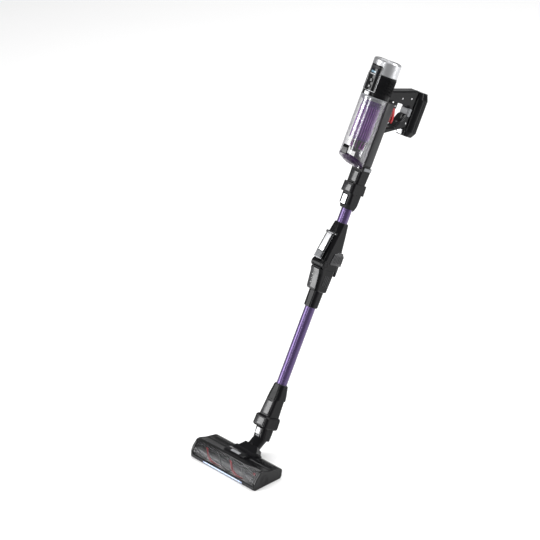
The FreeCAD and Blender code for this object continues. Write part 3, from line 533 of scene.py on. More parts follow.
# ------------------------------------------------------------------ shapes
class Shape:
    """A mesh under construction, in millimetres."""

    def __init__(self) -> None:
        """Start with an empty mesh."""
        self.mesh = bmesh.new()

    @classmethod
    def block(cls, low: Point, high: Point, round_over: float = 0.0, segments: int = 3) -> "Shape":
        """A box between two corners, with its edges rounded over."""
        shape = cls()
        centre = [(a + b) / 2 for a, b in zip(low, high)]
        size = [b - a for a, b in zip(low, high)]
        matrix = Matrix.Translation(centre) @ Matrix.Diagonal((*size, 1))
        bmesh.ops.create_cube(shape.mesh, size=1, matrix=matrix)
        return shape.bevel(round_over, segments) if round_over else shape

    @classmethod
    def rod(cls, radius: float, length: float, sides: int, matrix: Matrix) -> "Shape":
        """A round bar along z from the origin of a matrix."""
        shape = cls()
        bmesh.ops.create_cone(shape.mesh, cap_ends=True, segments=sides, radius1=radius, radius2=radius,
                              depth=length, matrix=matrix @ Matrix.Translation((0, 0, length / 2)))
        return shape

    @classmethod
    def turned(cls, profile: list[tuple[float, float]], steps: int = 72, matrix: Matrix = ROW,
               closed: bool = True) -> "Shape":
        """A radius-height outline spun about z.

        Args:
            profile: the outline's radius and height at each corner.
            steps: how many divisions a turn has.
            matrix: where the axis is.
            closed: whether the last corner joins the first.

        Returns:
            The turned shape.
        """
        shape = cls()
        corners = [shape.mesh.verts.new((radius, 0, height)) for radius, height in profile]
        pairs = list(zip(corners, corners[1:] + corners[:1]))
        edges = [shape.mesh.edges.new(pair) for pair in (pairs if closed else pairs[:-1])]
        bmesh.ops.spin(shape.mesh, geom=corners + edges, cent=(0, 0, 0), axis=(0, 0, 1), angle=math.tau,
                       steps=steps, use_merge=True, use_duplicate=False)
        bmesh.ops.remove_doubles(shape.mesh, verts=shape.mesh.verts, dist=0.001)
        bmesh.ops.recalc_face_normals(shape.mesh, faces=shape.mesh.faces)
        return shape.move(matrix)

    @classmethod
    def prism(cls, outline: list[tuple[float, float]], low: float, high: float, axis: str = "X",
              round_over: float = 0.0, segments: int = 3) -> "Shape":
        """An outline drawn across an axis and pushed along it.

        Args:
            outline: corners as (y, z) for X, or (x, z) for Y.
            low: where the prism begins along its axis.
            high: where it ends.
            axis: the axis.
            round_over: the radius of its rims.
            segments: how many facets the rounding has.

        Returns:
            The prism.
        """
        shape = cls()
        place = {"X": lambda a, b: (low, a, b), "Y": lambda a, b: (a, low, b)}[axis]
        face = shape.mesh.faces.new([shape.mesh.verts.new(place(a, b)) for a, b in outline])
        pushed = bmesh.ops.extrude_face_region(shape.mesh, geom=[face])["geom"]
        step = Vector([high - low if name == axis else 0 for name in "XYZ"])
        moved = [part for part in pushed if isinstance(part, bmesh.types.BMVert)]
        bmesh.ops.translate(shape.mesh, vec=step, verts=moved)
        bmesh.ops.recalc_face_normals(shape.mesh, faces=shape.mesh.faces)
        return shape.bevel(round_over, segments) if round_over else shape

    def bevel(self, width: float, segments: int = 3, sharper: float = 25.0) -> "Shape":
        """Round over the edges that are sharper than an angle."""
        limit = math.radians(sharper)
        edges = [e for e in self.mesh.edges if len(e.link_faces) == 2 and e.calc_face_angle(0) > limit]
        bmesh.ops.bevel(self.mesh, geom=edges, offset=width, segments=segments, profile=0.5, affect="EDGES",
                        material=-1, clamp_overlap=True)
        return self

    def move(self, matrix: Matrix) -> "Shape":
        """Transform the whole shape."""
        bmesh.ops.transform(self.mesh, matrix=matrix, verts=self.mesh.verts)
        return self

    def sided(self, side: int) -> "Shape":
        """Keep a right-hand piece for side 1, or mirror it to the left for side -1."""
        self.move(Matrix.Scale(side, 4, (1, 0, 0)))
        bmesh.ops.recalc_face_normals(self.mesh, faces=self.mesh.faces)
        return self

    def divide(self, axis: str, cuts: int) -> "Shape":
        """Cut every edge that runs along an axis into even lengths."""
        index = "XYZ".index(axis)
        edges = [e for e in self.mesh.edges
                 if abs((e.verts[0].co - e.verts[1].co).normalized()[index]) > 0.9]
        bmesh.ops.subdivide_edges(self.mesh, edges=edges, cuts=cuts, use_grid_fill=True)
        return self

    def warp(self, rule: Callable[[Vector], Vector]) -> "Shape":
        """Move each vertex by a rule."""
        for vertex in self.mesh.verts:
            vertex.co = rule(vertex.co.copy())
        return self

    def wrapped(self, radius: float, centre_y: float) -> "Shape":
        """Bend a flat piece, whose -y face looks out, round an upright cylinder."""
        def rule(spot: Vector) -> Vector:
            turn, reach = spot.x / radius, radius - spot.y
            return Vector((math.sin(turn) * reach, centre_y - math.cos(turn) * reach, spot.z))
        return self.warp(rule)

    def copies(self, count: int, step: float, centre: Point = (0, 0, 0)) -> "Shape":
        """Add turned copies of the shape round an upright axis."""
        geometry = self.mesh.verts[:] + self.mesh.edges[:] + self.mesh.faces[:]
        bmesh.ops.spin(self.mesh, geom=geometry, cent=centre, axis=(0, 0, 1), angle=step * (count - 1),
                       steps=count - 1, use_duplicate=True)
        return self

    def join(self, *others: "Shape") -> "Shape":
        """Take in other shapes."""
        for other in others:
            held = bpy.data.meshes.new("held")
            other.mesh.to_mesh(held)
            other.mesh.free()
            self.mesh.from_mesh(held)
            bpy.data.meshes.remove(held)
        return self

    def finish(self, name: str, body: str, slot: Slot, seat: Matrix = STICK, finish: Finish | None = None,
               crease: float = 35.0) -> bpy.types.Object:
        """Turn the shape into a piece of the object.

        Args:
            name: the piece's name.
            body: the moving body that it rides on.
            slot: the record's slot that it takes its finish from.
            seat: the frame that its millimetres are drawn in.
            finish: its own finish, where it isn't the slot's.
            crease: the angle above which an edge stays sharp, in degrees.

        Returns:
            The piece.
        """
        bmesh.ops.transform(self.mesh, matrix=Matrix.Scale(MM, 4) @ seat, verts=self.mesh.verts)
        mesh = bpy.data.meshes.new(name)
        self.mesh.to_mesh(mesh)
        self.mesh.free()
        mesh.shade_smooth()
        mesh.set_sharp_from_angle(angle=math.radians(crease))
        mesh.materials.append(PALETTE.get(finish or FINISHES[slot]))
        piece = bpy.data.objects.new(name, mesh)
        bpy.context.scene.collection.objects.link(piece)
        if body:
            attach(piece, body)
        log.info("%s on %s: %d faces", name, body or "a joint", len(mesh.polygons))
        return piece


BODY_OF = {node: body for body, nodes in frame["record"]["behaviour"]["bodies"].items() for node in nodes}


def merged(*shapes: Shape) -> Shape:
    """Several shapes as one."""
    return Shape().join(*shapes)


def ridges(low: Point, high: Point, axis: str, places: Iterable[float], round_over: float = 0.4) -> Shape:
    """A row of equal blocks.

    Args:
        low: one block's lowest corner, measured from its place.
        high: its highest corner.
        axis: the axis that the row runs along.
        places: where each block goes on that axis.
        round_over: the radius of its edges.

    Returns:
        The row.
    """
    along = Vector([name == axis for name in "XYZ"])
    return merged(*[Shape.block(Vector(low) + along * place, Vector(high) + along * place, round_over, 2)
                    for place in places])


def towards(start: Point, direction: Point) -> Matrix:
    """A frame at a point with its z along a direction."""
    return Matrix.Translation(start) @ Vector(direction).to_track_quat("Z", "Y").to_matrix().to_4x4()


def dress_frame() -> None:
    """Give every engineering node its finish."""
    slots = {part["node"]: part["material_slot"] for part in frame["record"]["subparts"]}
    for name, node in frame["nodes"].items():
        material = PALETTE.get(FINISHES[Slot(slots[name])])
        if not node.material_slots:
            node.data.materials.append(material)
        for place in node.material_slots:
            place.material = material
    log.info("dressed %d engineering nodes", len(frame["nodes"]))


# ------------------------------------------------------------------ sub-assemblies
@dataclass
class MotorPod:
    """The motor's housing above the bin, with its control panel and exhaust cap."""

    radius: float = 38.0
    low: float = 988.0
    high: float = 1048.0
    louvres: int = 46

    def build(self) -> None:
        """Make the pod's pieces."""
        self.make_louvres()
        self.make_panel()
        self.make_cap()

    def make_louvres(self) -> None:
        """Slanting cooling fins round the housing."""
        fin = Shape.block((-0.55, -0.9, self.low + 13), (0.55, 0.6, self.high - 3)).divide("Z", 10)
        fin.warp(lambda p: Vector((p.x + (p.z - self.low - 28) * 0.55, p.y, p.z)))
        fin.bevel(0.3, 1, 60).wrapped(self.radius, POD_Y)
        pitch = math.radians(278) / (self.louvres - 1)
        fin.move(POD @ Matrix.Rotation(math.radians(41), 4, "Z") @ POD.inverted())
        fin.copies(self.louvres, pitch, (0, POD_Y, 0))
        fin.finish("motor_louvres", "main_unit", Slot.BLACK)
        rings = [Shape.turned([(37.4, t), (38.9, t + 0.4), (38.9, t + 1.4), (37.4, t + 1.8)], 96, POD)
                 for t in (self.low + 9.6, self.high - 2.4)]
        merged(*rings).finish("motor_band_rings", "main_unit", Slot.BLACK)

    def make_panel(self) -> None:
        """The control panel's rim, slot, screen and symbols."""
        rim = merged(*[Shape.block(low, high).divide("X", cuts) for low, high, cuts in (
            ((-20.5, -1.4, 1000), (-19.4, 1.2, 1072.2), 1), ((19.4, -1.4, 1000), (20.5, 1.2, 1072.2), 1),
            ((-19.5, -1.4, 1070.9), (19.5, 1.2, 1072.2), 16),
            ((-19.5, -1.4, 999.6), (19.5, 1.2, 1000.7), 16))])
        self.on_pod(rim, "panel_rim", slot=Slot.SILVER)
        slot = merged(
            Shape.block((-14, -2.3, 1059.6), (14, -0.8, 1061), 0.4, 2).divide("X", 12),
            Shape.block((-14, -2.3, 1067.4), (14, -0.8, 1068.8), 0.4, 2).divide("X", 12),
            Shape.block((-14, -2.3, 1060), (-12.6, -0.8, 1068.4), 0.4, 2),
            Shape.block((12.6, -2.3, 1060), (14, -0.8, 1068.4), 0.4, 2))
        self.on_pod(slot, "panel_slot_rim", slot=Slot.GLOSS)
        glass = Shape.block((-12.8, -1.9, 1060.8), (12.8, -0.8, 1067.6)).divide("X", 12)
        self.on_pod(glass, "panel_slot_glass", slot=Slot.DARK)
        gauge = Shape.block((-11, -1.8, 1048.4), (5, -1.2, 1053)).divide("X", 10)
        self.on_pod(gauge, "battery_gauge", slot=Slot.SCREEN, finish=GAUGE)
        marks = [Shape.block((x, -1.85, 1043.4), (x + 2.2, -1.2, 1045.4))
                 for x in (-11, -7.6, -4.2, -0.8, 2.6)]
        self.on_pod(merged(*marks), "gauge_marks")
        ring = Shape.turned([(2.1, 0), (2.7, 0), (2.7, 0.5), (2.1, 0.5)], 28,
                            towards((0, -2.55, 1028), (0, -1, 0)))
        bar = Shape.block((-0.3, -3.1, 1028), (0.3, -2.5, 1031))
        self.on_pod(merged(ring, bar), "power_symbol", "power_button")
        chevron = [(-2.4, 0), (0, 2), (2.4, 0), (2.4, 0.9), (0, 2.9), (-2.4, 0.9)]
        chevrons = [Shape.prism([(x, level + rise) for x, rise in chevron], -3.1, -2.5, "Y")
                    for level in (1008.4, 1011.2)]
        self.on_pod(merged(*chevrons), "boost_symbol", "boost_button")

    def on_pod(self, shape: Shape, name: str, body: str = "main_unit", slot: Slot = Slot.WHITE,
               finish: Finish | None = None) -> None:
        """Bend a flat piece round the pod and finish it."""
        shape.wrapped(self.radius, POD_Y).finish(name, body, slot, finish=finish)

    def make_cap(self) -> None:
        """The exhaust slots and the turned rings on the cap's top."""
        axis = Matrix.Translation((0, POD_Y, 1090))
        slot = Shape.block((-0.7, 14, -0.4), (0.7, 27, 0.35), 0.3, 1)
        slot.copies(36, math.tau / 36).move(axis)
        slot.finish("exhaust_slots", "exhaust_cap", Slot.BLACK)
        Shape.turned([(29.4, -0.5), (29.7, 0.3), (30.6, 0.3), (30.9, -0.5)], 96, axis).finish(
            "exhaust_ring", "exhaust_cap", Slot.SILVER)
        Shape.turned([(0, -0.4), (11.5, -0.4), (11.2, 0.5), (9.8, 0.7), (9, 0.25), (0, 0.25)], 64, axis,
                     closed=False).finish("exhaust_centre", "exhaust_cap", Slot.SILVER)
        joint = Shape.turned([(37.6, 0.4), (38.25, 0.4), (38.25, 1.6), (37.6, 1.6)], 96)
        joint.move(Matrix.Translation((0, POD_Y, 1048))).finish("cap_joint_line", "exhaust_cap", Slot.DARK)


@dataclass
class DustBin:
    """The clear bin's cyclone collars, its rim's bead and its lid's turned rings."""

    slope: Matrix = field(default_factory=lambda: Matrix.Translation((0, -20, 803)) @ Matrix.Rotation(
        -BIN_SLOPE, 4, "X"))

    def build(self) -> None:
        """Make the bin's pieces."""
        self.make_lid()
        self.make_collars()

    def make_lid(self) -> None:
        """Concentric rings standing on the lid's dished underside."""
        axis = self.slope @ Matrix.Translation((0, -38.5, -5.3))
        rings = [Shape.turned([(r - 0.9, z + 0.6), (r - 0.5, z - 0.9), (r + 0.5, z - 0.9),
                               (r + 1.1, z + 0.6)], 64, axis) for r, z in ((24.5, -2.2), (20.2, -5.0))]
        boss = Shape.turned([(0, -6.6), (12.5, -6.6), (12.2, -7.6), (9.5, -7.8), (8.8, -7.1), (4, -7.1),
                             (3.4, -8), (0, -8)], 64, axis, closed=False)
        merged(*rings, boss).finish("lid_rings", "bin_lid", Slot.LID)

    def make_collars(self) -> None:
        """Rings round the cyclone and the bin's mouth."""
        axis = Matrix.Translation((0, BIN_Y, 0))
        lip = Shape.turned([(24.6, 868.5), (26.4, 869.5), (26.4, 873), (24.6, 874)], 72, axis)
        top = Shape.turned([(24.6, 960), (26, 961), (26, 965), (24.6, 966)], 72, axis)
        merged(lip, top).finish("cyclone_collars", "dust_bin", Slot.VIOLET)
        rib = Shape.block((-0.9, -26.6, 874), (0.9, -24.2, 960), 0.5, 2).copies(26, math.tau / 26)
        rib.move(axis).finish("cyclone_ribs", "dust_bin", Slot.VIOLET, finish=CYCLONE_RIB)
        fins = Shape.block((-0.6, -21.5, 846), (0.6, -11, 868)).copies(10, math.tau / 10)
        fins.move(axis).finish("cyclone_vanes", "dust_bin", Slot.VIOLET, finish=VANE)
        Shape.turned([(36.4, 984.4), (37.2, 984.8), (37.2, 987.2), (36.4, 987.6)], 96, axis).finish(
            "bin_rim_bead", "dust_bin", Slot.GREY)


@dataclass
class Handle:
    """The handle with its grip, and the battery behind it."""

    side: float = 14.8
    battery_side: float = 26.1
    seams: tuple[float, ...] = (110.0, 118.5, 127.0)

    def build(self) -> None:
        """Make the handle's and battery's pieces."""
        self.make_grip()
        self.make_spine_sides()
        self.make_battery()

    def make_grip(self) -> None:
        """The light grip column, the hump under it and the side screws."""
        column = Shape.block((-15.5, 83.0, 963), (15.5, 94.0, 986.5), 2.6, 4)
        column.finish("grip_shell", "main_unit", Slot.GREY)
        ridges((-9, 82.2, 0), (9, 83.6, 1.4), "Z", range(967, 984, 4), 0.5).finish(
            "grip_ribs", "main_unit", Slot.DARK)
        hump = [(60, 942), (66, 953), (73, 964), (80, 969.5), (88, 967), (92, 956), (92, 938), (74, 934)]
        Shape.prism(hump, -13.5, 13.5, "X", 4.5, 5).finish("grip_hump", "main_unit", Slot.GLOSS)
        head = [(0, 0.2), (1.1, 0.2), (1.4, 0.55), (2.3, 0.6), (2.6, 0.3), (2.6, 0)]
        screws = [Shape.turned(head, 24, towards((side * self.side, *place), (side, 0, 0)), closed=False)
                  for side in (-1, 1) for place in ((40, 1006), (76, 1012), (88, 945))]
        merged(*screws).finish("handle_screws", "main_unit", Slot.STEEL)

    def make_spine_sides(self) -> None:
        """Grey side plates and the dark seal that the bin rests on."""
        for side, name in ((-1, "left"), (1, "right")):
            plate = Shape.block((15.7, -13, 808), (16.8, 14.6, 984), 0.7, 2)
            seal = Shape.block((15.6, -29, 812), (17.2, -20.5, 980), 0.7, 2)
            plate.sided(side).finish(f"spine_side_{name}", "main_unit", Slot.DARK)
            seal.sided(side).finish(f"bin_seal_{name}", "main_unit", Slot.RUBBER)

    def make_battery(self) -> None:
        """Parting lines and ribs of the battery, its latch's ridges and its socket's ring."""
        lines = [ridges((across - 0.6, 0, 927), (across + 0.6, 1.1, 1017), "Y", self.seams)
                 for across in (-self.battery_side, self.battery_side)]
        lines.append(ridges((0, 139.5, 930), (1.2, 140.7, 1014), "X", (-12.6, -6.6, -0.6, 5.4, 11.4)))
        merged(*lines).finish("battery_ribs", "battery", Slot.BLACK)
        lamps = [Shape.rod(1.1, 0.9, 20, towards((x, 139.7, 922.5), (0, 1, 0))) for x in (-6, 0, 6)]
        merged(*lamps).finish("charge_lights", "battery", Slot.WHITE)
        ridges((-5.6, 90.8, 0), (5.6, 92, 1.3), "Z", (917.5, 920.5, 923.5)).finish(
            "battery_latch_ridges", "battery_latch", Slot.SILVER)
        ring = Shape.turned([(4.6, 0.3), (4.9, -0.7), (6.8, -0.7), (7.4, 0.3)], 40)
        ring.move(Matrix.Translation((0, 120, 912))).finish("socket_ring", "battery", Slot.DARK)


@dataclass
class Couplings:
    """Face plates, rails and button ridges of the couplings, where one tube plugs into the next."""

    def build(self) -> None:
        """Make the couplings' pieces."""
        self.make_upper()
        self.make_lower()

    def make_upper(self) -> None:
        """The plates and rails below the bin."""
        Shape.prism([(-22.0, 758), (-24.2, 760), (-24.2, 787), (-22.0, 789)], -13, 13, "X", 0.8).finish(
            "throat_plate", "main_unit", Slot.DARK, finish=PLATE)
        Shape.block((-13.5, -33.0, 731), (13.5, -31.0, 750), 0.9).finish(
            "latch_plate", "main_unit", Slot.DARK, finish=PLATE)
        # Painted highlight: these light grey bands under the lid stand where the glossy rim catches the
        # light
        for side, name in ((-1, "left"), (1, "right")):
            band = Shape.block((19.2, -14, 793.5), (20.9, 16, 801.5), 0.8).sided(side)
            band.finish(f"throat_painted_highlight_band_{name}", "main_unit", Slot.GREY)
        Shape.block((-5.5, 17.6, 679), (5.5, 24, 726), 2.2, 4).finish("wand_rail", "upper_wand", Slot.DARK)
        rim = merged(Shape.block((-8.6, -25.4, 693), (-7.2, -22, 722), 0.5, 2),
                     Shape.block((7.2, -25.4, 693), (8.6, -22, 722), 0.5, 2))
        rim.finish("wand_button_rim", "upper_wand", Slot.DARK)
        ridges((-4.6, -28.1, 0), (4.6, -26.6, 1.3), "Z", (703, 707, 711)).finish(
            "wand_button_ridges", "wand_button", Slot.SILVER)

    def make_lower(self) -> None:
        """The plates and rails above the floor head."""
        Shape.prism([(-24.4, 95), (-26.6, 97), (-24.2, 133), (-21.6, 135.5)], -13, 13, "X", 0.8).finish(
            "head_plate", "head_connector", Slot.DARK, finish=PLATE)
        Shape.block((-14.5, -34.2, 65), (14.5, -32.2, 85), 0.9).finish(
            "ring_plate", "head_connector", Slot.DARK, finish=PLATE)
        rail = Shape.block((-5.5, 18.8, 20), (5.5, 25.4, 60), 2.2, 4)
        rail.finish("head_rail", "head_connector", Slot.DARK)
        # Painted highlight: this light grey block under the head button stands where the sleeve's front
        # catches the light
        foot = Shape.block((-6.2, -21.4, 25.5), (6.2, -17, 35.5), 1.2)
        foot.finish("head_foot_painted_highlight", "head_connector", Slot.GREY)
        ridges((-4, -26.5, 0), (4, -25.1, 1.2), "Z", (43, 46.5, 50)).finish(
            "head_button_ridges", "head_button", Slot.WHITE)
        outline = [(20.6, 144), (23.6, 143), (23.6, 152), (17.6, 176), (16.2, 176)]
        Shape.prism(outline, -5, 5, "X", 1.0).finish("foot_rail", "lower_wand", Slot.DARK)


@dataclass
class FoldingJoint:
    """The wand's folding joint: its bellows, lever trim and side plates."""

    lever: Matrix = field(default_factory=lambda: STICK @ Matrix.Translation((0, *LEVER)) @ Matrix.Rotation(
        -LEVER_TILT, 4, "X"))

    def build(self) -> None:
        """Make the joint's pieces."""
        self.make_bellows()
        self.make_lever()
        self.make_shells()

    def make_bellows(self) -> None:
        """The ribbed hose that bends inside the joint."""
        profile = [(12.6, 482.0)]
        for turn in range(11):
            base = 482 + turn * 6
            profile += [(12.6, base + 1.4), (13.7, base + 2.2), (13.7, base + 3.8), (12.6, base + 4.6)]
        profile += [(12.6, 548.0), (11.6, 548.0), (11.6, 482.0)]
        hose = Shape.turned(profile, 48).finish("bellows_hose", "", Slot.RUBBER)
        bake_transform(hose)
        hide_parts("flex_hose")

    def make_lever(self) -> None:
        """The release lever's pad, rails and ribbed foot."""
        Shape.block((-8.6, -5.2, -54), (8.6, -2.8, -5), 1.0, 4).finish(
            "lever_pad", "flex_lever", Slot.SILVER, self.lever, BRIGHT)
        frame_bars = [Shape.block(low, high, 0.6, 2) for low, high in (
            ((-10.6, -5.0, -56), (-9.0, -2.8, -3)), ((9.0, -5.0, -56), (10.6, -2.8, -3)),
            ((-10.6, -5.0, -3.9), (10.6, -2.8, -2.3)), ((-10.6, -5.0, -57), (10.6, -2.8, -55.3)))]
        merged(*frame_bars).finish("lever_frame", "flex_lever", Slot.GLOSS, self.lever)
        rails = [Shape.block((x, -4.2, -74), (x + 1.9, -0.4, 1.5), 0.7) for x in (-12.4, 10.5)]
        rails.append(Shape.block((-12.4, -4.2, -0.6), (12.4, -0.6, 2.4), 0.9))
        merged(*rails).finish("lever_rails", "flex_lever", Slot.DARK, self.lever)
        foot = Shape.block((-10.4, -7.2, -75.6), (10.4, -3.0, -57.4), 1.3)
        treads = ridges((-8.4, -8.1, 0), (8.4, -6.8, 1.5), "Z", (-73, -69.4, -65.8, -62.2))
        merged(foot, treads).finish("lever_foot", "flex_lever", Slot.GREY, self.lever)

    def make_shells(self) -> None:
        """The lower face plate with its dots, the pivot caps and the side ribs."""
        face = [(-26.0, 456), (-28.4, 457), (-35.6, 500), (-39.4, 510.5), (-37.4, 511.6), (-33.2, 500)]
        Shape.prism(face, -15.5, 15.5, "X", 0.8).finish("knee_plate", "lower_wand", Slot.DARK, finish=PLATE)
        dots = [Shape.rod(1.0, 0.8, 20, towards((-5, depth, level), (0, -1, 0.16)))
                for depth, level in ((-30.4, 470), (-32.2, 481), (-34.0, 492))]
        merged(*dots).finish("knee_dots", "lower_wand", Slot.WHITE)
        caps, upper, lower = [], [], []
        cap = [(0, 1.6), (4.6, 1.6), (5.0, 1.0), (6.4, 1.0), (6.9, 1.7), (9.2, 1.7), (9.8, 1.0), (9.8, 0)]
        for side in (-1, 1):
            caps.append(Shape.turned(cap, 48, towards((side * 20.4, *KNEE), (side, 0, 0)), closed=False))
            upper.append(ridges((side * 22.6 - 0.8, 0, 536), (side * 22.6 + 0.8, 2.4, 558), "Y",
                                (-3, 3, 9, 15, 21, 27), 0.6))
            lower.append(ridges((side * 20.6 - 0.8, 0, 466), (side * 20.6 + 0.8, 3.2, 498), "Y",
                                (-12, -5.5, 1, 7.5), 0.6))
        for side, name in ((-1, "left"), (1, "right")):
            outline = [(-13, 530), (-8, 559), (6, 567), (25, 565.5), (33, 557), (33, 530)]
            plate = Shape.prism(outline, 20.6, 22.6, "X", 0.9).sided(side)
            plate.finish(f"knee_side_{name}", "upper_wand", Slot.DARK, finish=PLATE)
        merged(*caps).finish("knee_caps", "upper_wand", Slot.BLACK)
        merged(*upper).finish("knee_ribs_upper", "upper_wand", Slot.DARK)
        merged(*lower).finish("knee_ribs_lower", "lower_wand", Slot.DARK)
        ridges((-14, 34.4, 0), (14, 35.8, 1.6), "Z", range(504, 562, 6), 0.5).finish(
            "rear_cover_ribs", BODY_OF["flex_rear_cover"], Slot.DARK)
        ring = [(14.9, 0), (16.6, 0), (17.1, 1), (17.1, 2.2), (16.6, 3.2), (14.9, 3.2)]
        for name, body, level in (("upper_sleeve_ring", "upper_wand", 641),
                                  ("lower_sleeve_ring", "lower_wand", 404.6),
                                  ("foot_sleeve_ring", "lower_wand", 179.6)):
            sleeve = Shape.turned([(radius, level + rise) for radius, rise in ring], 64)
            sleeve.finish(name, body, Slot.DARK)


@dataclass
class FloorHead:
    """The motorised floor nozzle."""

    half: float = 117.0
    brush_axis: tuple[float, float] = (-29.0, 17.4)
    lead: float = 91.0
    first: float = -80.0

    def build(self) -> None:
        """Make the floor head's pieces."""
        self.make_cover()
        self.make_window_frame()
        self.make_ends()
        self.make_brush()

    def make_cover(self) -> None:
        """The ridges, hump, pad and vents on top."""
        crest = [(-28.4, 45.6), (-27.2, 47.6), (-20, 48.1), (-17.4, 46.2)]
        ridge = Shape.prism(crest, -self.half, self.half, "X", 0.7)
        tread = [(9, 37.6), (10.2, 39.0), (13.4, 38.4), (14.6, 36.6)]
        step = Shape.prism(tread, -self.half, self.half, "X", 0.5)
        merged(ridge, step).finish("cover_ridges", "nozzle", Slot.GLOSS, ROW)
        hump = [(-13, 43.6), (-8, 47.0), (4, 47.2), (13, 43.6), (18, 38), (18, 35.6), (4, 37.6),
                (-12, 42.2)]
        Shape.prism(hump, -36, 36, "X", 1.4, 3).finish("cover_hump", "nozzle", Slot.BLACK, ROW)
        Shape.prism([(-6.2, 46.4), (-5.6, 48.2), (3.0, 48.4), (3.8, 46.6)], -16, 16, "X", 0.6).finish(
            "cover_pad", "nozzle", Slot.GREY, ROW)
        slant = Matrix.Translation((0, 29, 34.2)) @ Matrix.Rotation(math.radians(-11.8), 4, "X")
        vents = [Shape.block((side * x - 1.7, -7, -0.9), (side * x + 1.7, 7, 0.9), 0.5, 2).move(slant)
                 for side in (-1, 1) for x in range(56, 112, 7)]
        merged(*vents).finish("cover_vents", "nozzle", Slot.GLOSS, ROW)

    def make_window_frame(self) -> None:
        """The window's black frame and the lamp's bezel and lenses."""
        sill = [(-50.7, 7.9), (-50.9, 9.8), (-48.6, 10.4), (-48, 7.9)]
        low = Shape.prism(sill, -self.half, self.half, "X", 0.4, 2)
        jamb = [(-50.6, 9), (-50.6, 19.2), (-44.6, 31.4), (-28.6, 47.2), (-27.4, 46), (-43, 30.4),
                (-48.6, 19), (-48.6, 9)]
        ends = [Shape.prism(jamb, side * 117.4 - 0.9, side * 117.4 + 0.9, "X") for side in (-1, 1)]
        merged(low, *ends).finish("window_frame", "nozzle", Slot.GLOSS, ROW)
        bezel = [Shape.block((-76, -51.3, z), (76, -49.6, z + 0.9), 0.3, 2) for z in (1.6, 7.3)]
        bezel += [Shape.block((x, -51.3, 1.6), (x + 1.4, -49.6, 8.2), 0.3, 2) for x in (-76, 74.6)]
        merged(*bezel).finish("lamp_bezel", "nozzle", Slot.DARK, ROW)
        dome = [(0, 0.9), (1.2, 0.75), (1.9, 0.3), (2.0, 0)]
        lenses = [Shape.turned(dome, 20, towards((x, -50.7, 4.9), (0, -1, 0)), closed=False)
                  for x in range(-66, 67, 12)]
        merged(*lenses).finish("lamp_lenses", "nozzle", Slot.LAMP, ROW, LENS)

    def make_ends(self) -> None:
        """Turned rings on the end caps."""
        rings = []
        for side in (-1, 1):
            seat = towards((side * 123.9, -16, 20), (side, 0, 0))
            rings += [Shape.turned([(r - 0.8, -0.2), (r - 0.4, 0.45), (r + 0.4, 0.45), (r + 0.8, -0.2)],
                                   56, seat) for r in (6, 10, 14)]
        merged(*rings).finish("end_cap_rings", "nozzle", Slot.BLACK, ROW)

    def make_brush(self) -> None:
        """Tufts set in two broad helices on the roller."""
        for name, start, slot_finish in (("red_tufts", 0.0, TUFT_RED), ("grey_tufts", math.pi, TUFT_GREY)):
            tufts = Shape()
            for index in range(68):
                across = -110 + index * 3.1
                for row in (-0.12, 0.06):
                    turn = math.tau * (across - self.first) / self.lead + start + row
                    out = Vector((0, -math.sin(turn), math.cos(turn)))
                    seat = towards(Vector((across, *self.brush_axis)) + out * 10.4, out)
                    bmesh.ops.create_cone(tufts.mesh, cap_ends=True, segments=6, radius1=1.25, radius2=0.8,
                                          depth=6.0, matrix=seat @ Matrix.Translation((0, 0, 3.0)))
            piece = tufts.finish(name, "brush", Slot.BRISTLE, ROW, slot_finish)
            if start == 0:
                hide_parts("brush_bristles")


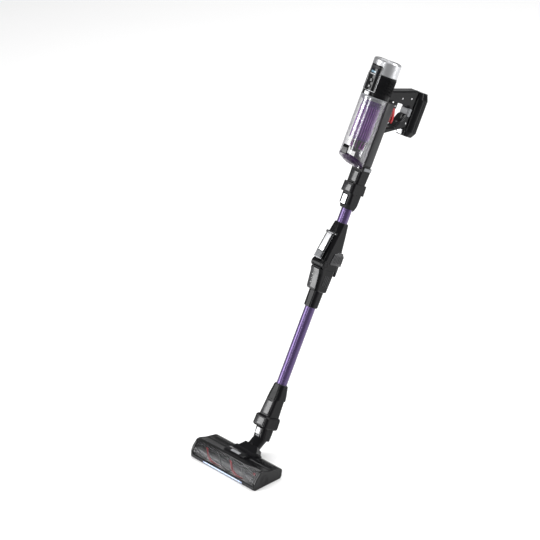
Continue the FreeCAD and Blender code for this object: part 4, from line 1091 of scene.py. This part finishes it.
@dataclass
class Studio:
    """A pale floor, soft lamps and the camera."""

    target: Point = (-0.114, 0.235, 0.462)
    azimuth: float = 46.0
    elevation: float = 27.9
    distance: float = 7.98
    lens: float = 200.0

    def build(self) -> None:
        """Make the floor, the lamps and the camera."""
        self.make_floor()
        self.make_lamps()
        self.make_camera()

    def make_floor(self) -> None:
        """A wide plain floor."""
        shape = Shape()
        bmesh.ops.create_grid(shape.mesh, x_segments=4, y_segments=4, size=40)
        mesh = bpy.data.meshes.new("studio_floor")
        bmesh.ops.translate(shape.mesh, vec=(0, 0, -0.0005), verts=shape.mesh.verts)
        shape.mesh.to_mesh(mesh)
        shape.mesh.free()
        mesh.materials.append(PALETTE.get(Ground("floor_paint", (0.93, 0.93, 0.93))))
        floor = bpy.data.objects.new("studio_floor", mesh)
        bpy.context.scene.collection.objects.link(floor)

    def lamp(self, name: str, place: Point, size: tuple[float, float], power: float) -> None:
        """Hang one soft lamp that faces the object.

        Args:
            name: the lamp's name.
            place: where it hangs, from the target, in metres.
            size: its width and height in metres.
            power: its power in watts.
        """
        light = bpy.data.lights.new(name, "AREA")
        light.shape, light.size, light.size_y, light.energy = "RECTANGLE", size[0], size[1], power
        holder = bpy.data.objects.new(name, light)
        holder.location = Vector(self.target) + Vector(place)
        holder.rotation_mode = "QUATERNION"
        holder.rotation_quaternion = Vector(place).to_track_quat("Z", "Y")
        bpy.context.scene.collection.objects.link(holder)

    def make_lamps(self) -> None:
        """Soft lamps and an even pale surround."""
        self.lamp("key_softbox", (-1.15, -2.0, 0.6), (1.0, 2.2), 66)
        self.lamp("front_softbox", (0.9, -2.6, 1.3), (0.4, 1.4), 16)
        self.lamp("rim_softbox", (1.9, 1.6, 0.9), (0.4, 2.2), 30)
        self.lamp("top_softbox", (0.0, 1.6, 3.4), (4.4, 3.4), 170)
        world = bpy.data.worlds.new("studio_surround")
        world.use_nodes = True
        world.node_tree.nodes["Background"].inputs[0].default_value = (1.0, 1.0, 1.0, 1)
        world.node_tree.nodes["Background"].inputs[1].default_value = 0.38
        bpy.context.scene.world = world
        bpy.context.scene.view_settings.view_transform = "Standard"

    def make_camera(self) -> None:
        """A long lens looking down at the object."""
        turn, rise = math.radians(self.azimuth), math.radians(self.elevation)
        back = Vector((math.sin(turn) * math.cos(rise), -math.cos(turn) * math.cos(rise), math.sin(rise)))
        data = bpy.data.cameras.new("camera")
        data.lens, data.clip_end = self.lens, 200.0
        camera = bpy.data.objects.new("camera", data)
        camera.location = Vector(self.target) + back * self.distance
        camera.rotation_mode = "QUATERNION"
        camera.rotation_quaternion = back.to_track_quat("Z", "Y")
        bpy.context.scene.collection.objects.link(camera)
        bpy.context.scene.camera = camera


def main() -> None:
    """Build the studio and every sub-assembly, in order."""
    Studio().build()
    dress_frame()
    for assembly in (MotorPod(), DustBin(), Handle(), Couplings(), FoldingJoint(), FloorHead()):
        log.info("building %s", type(assembly).__name__)
        assembly.build()


if __name__ == "__main__":
    main()
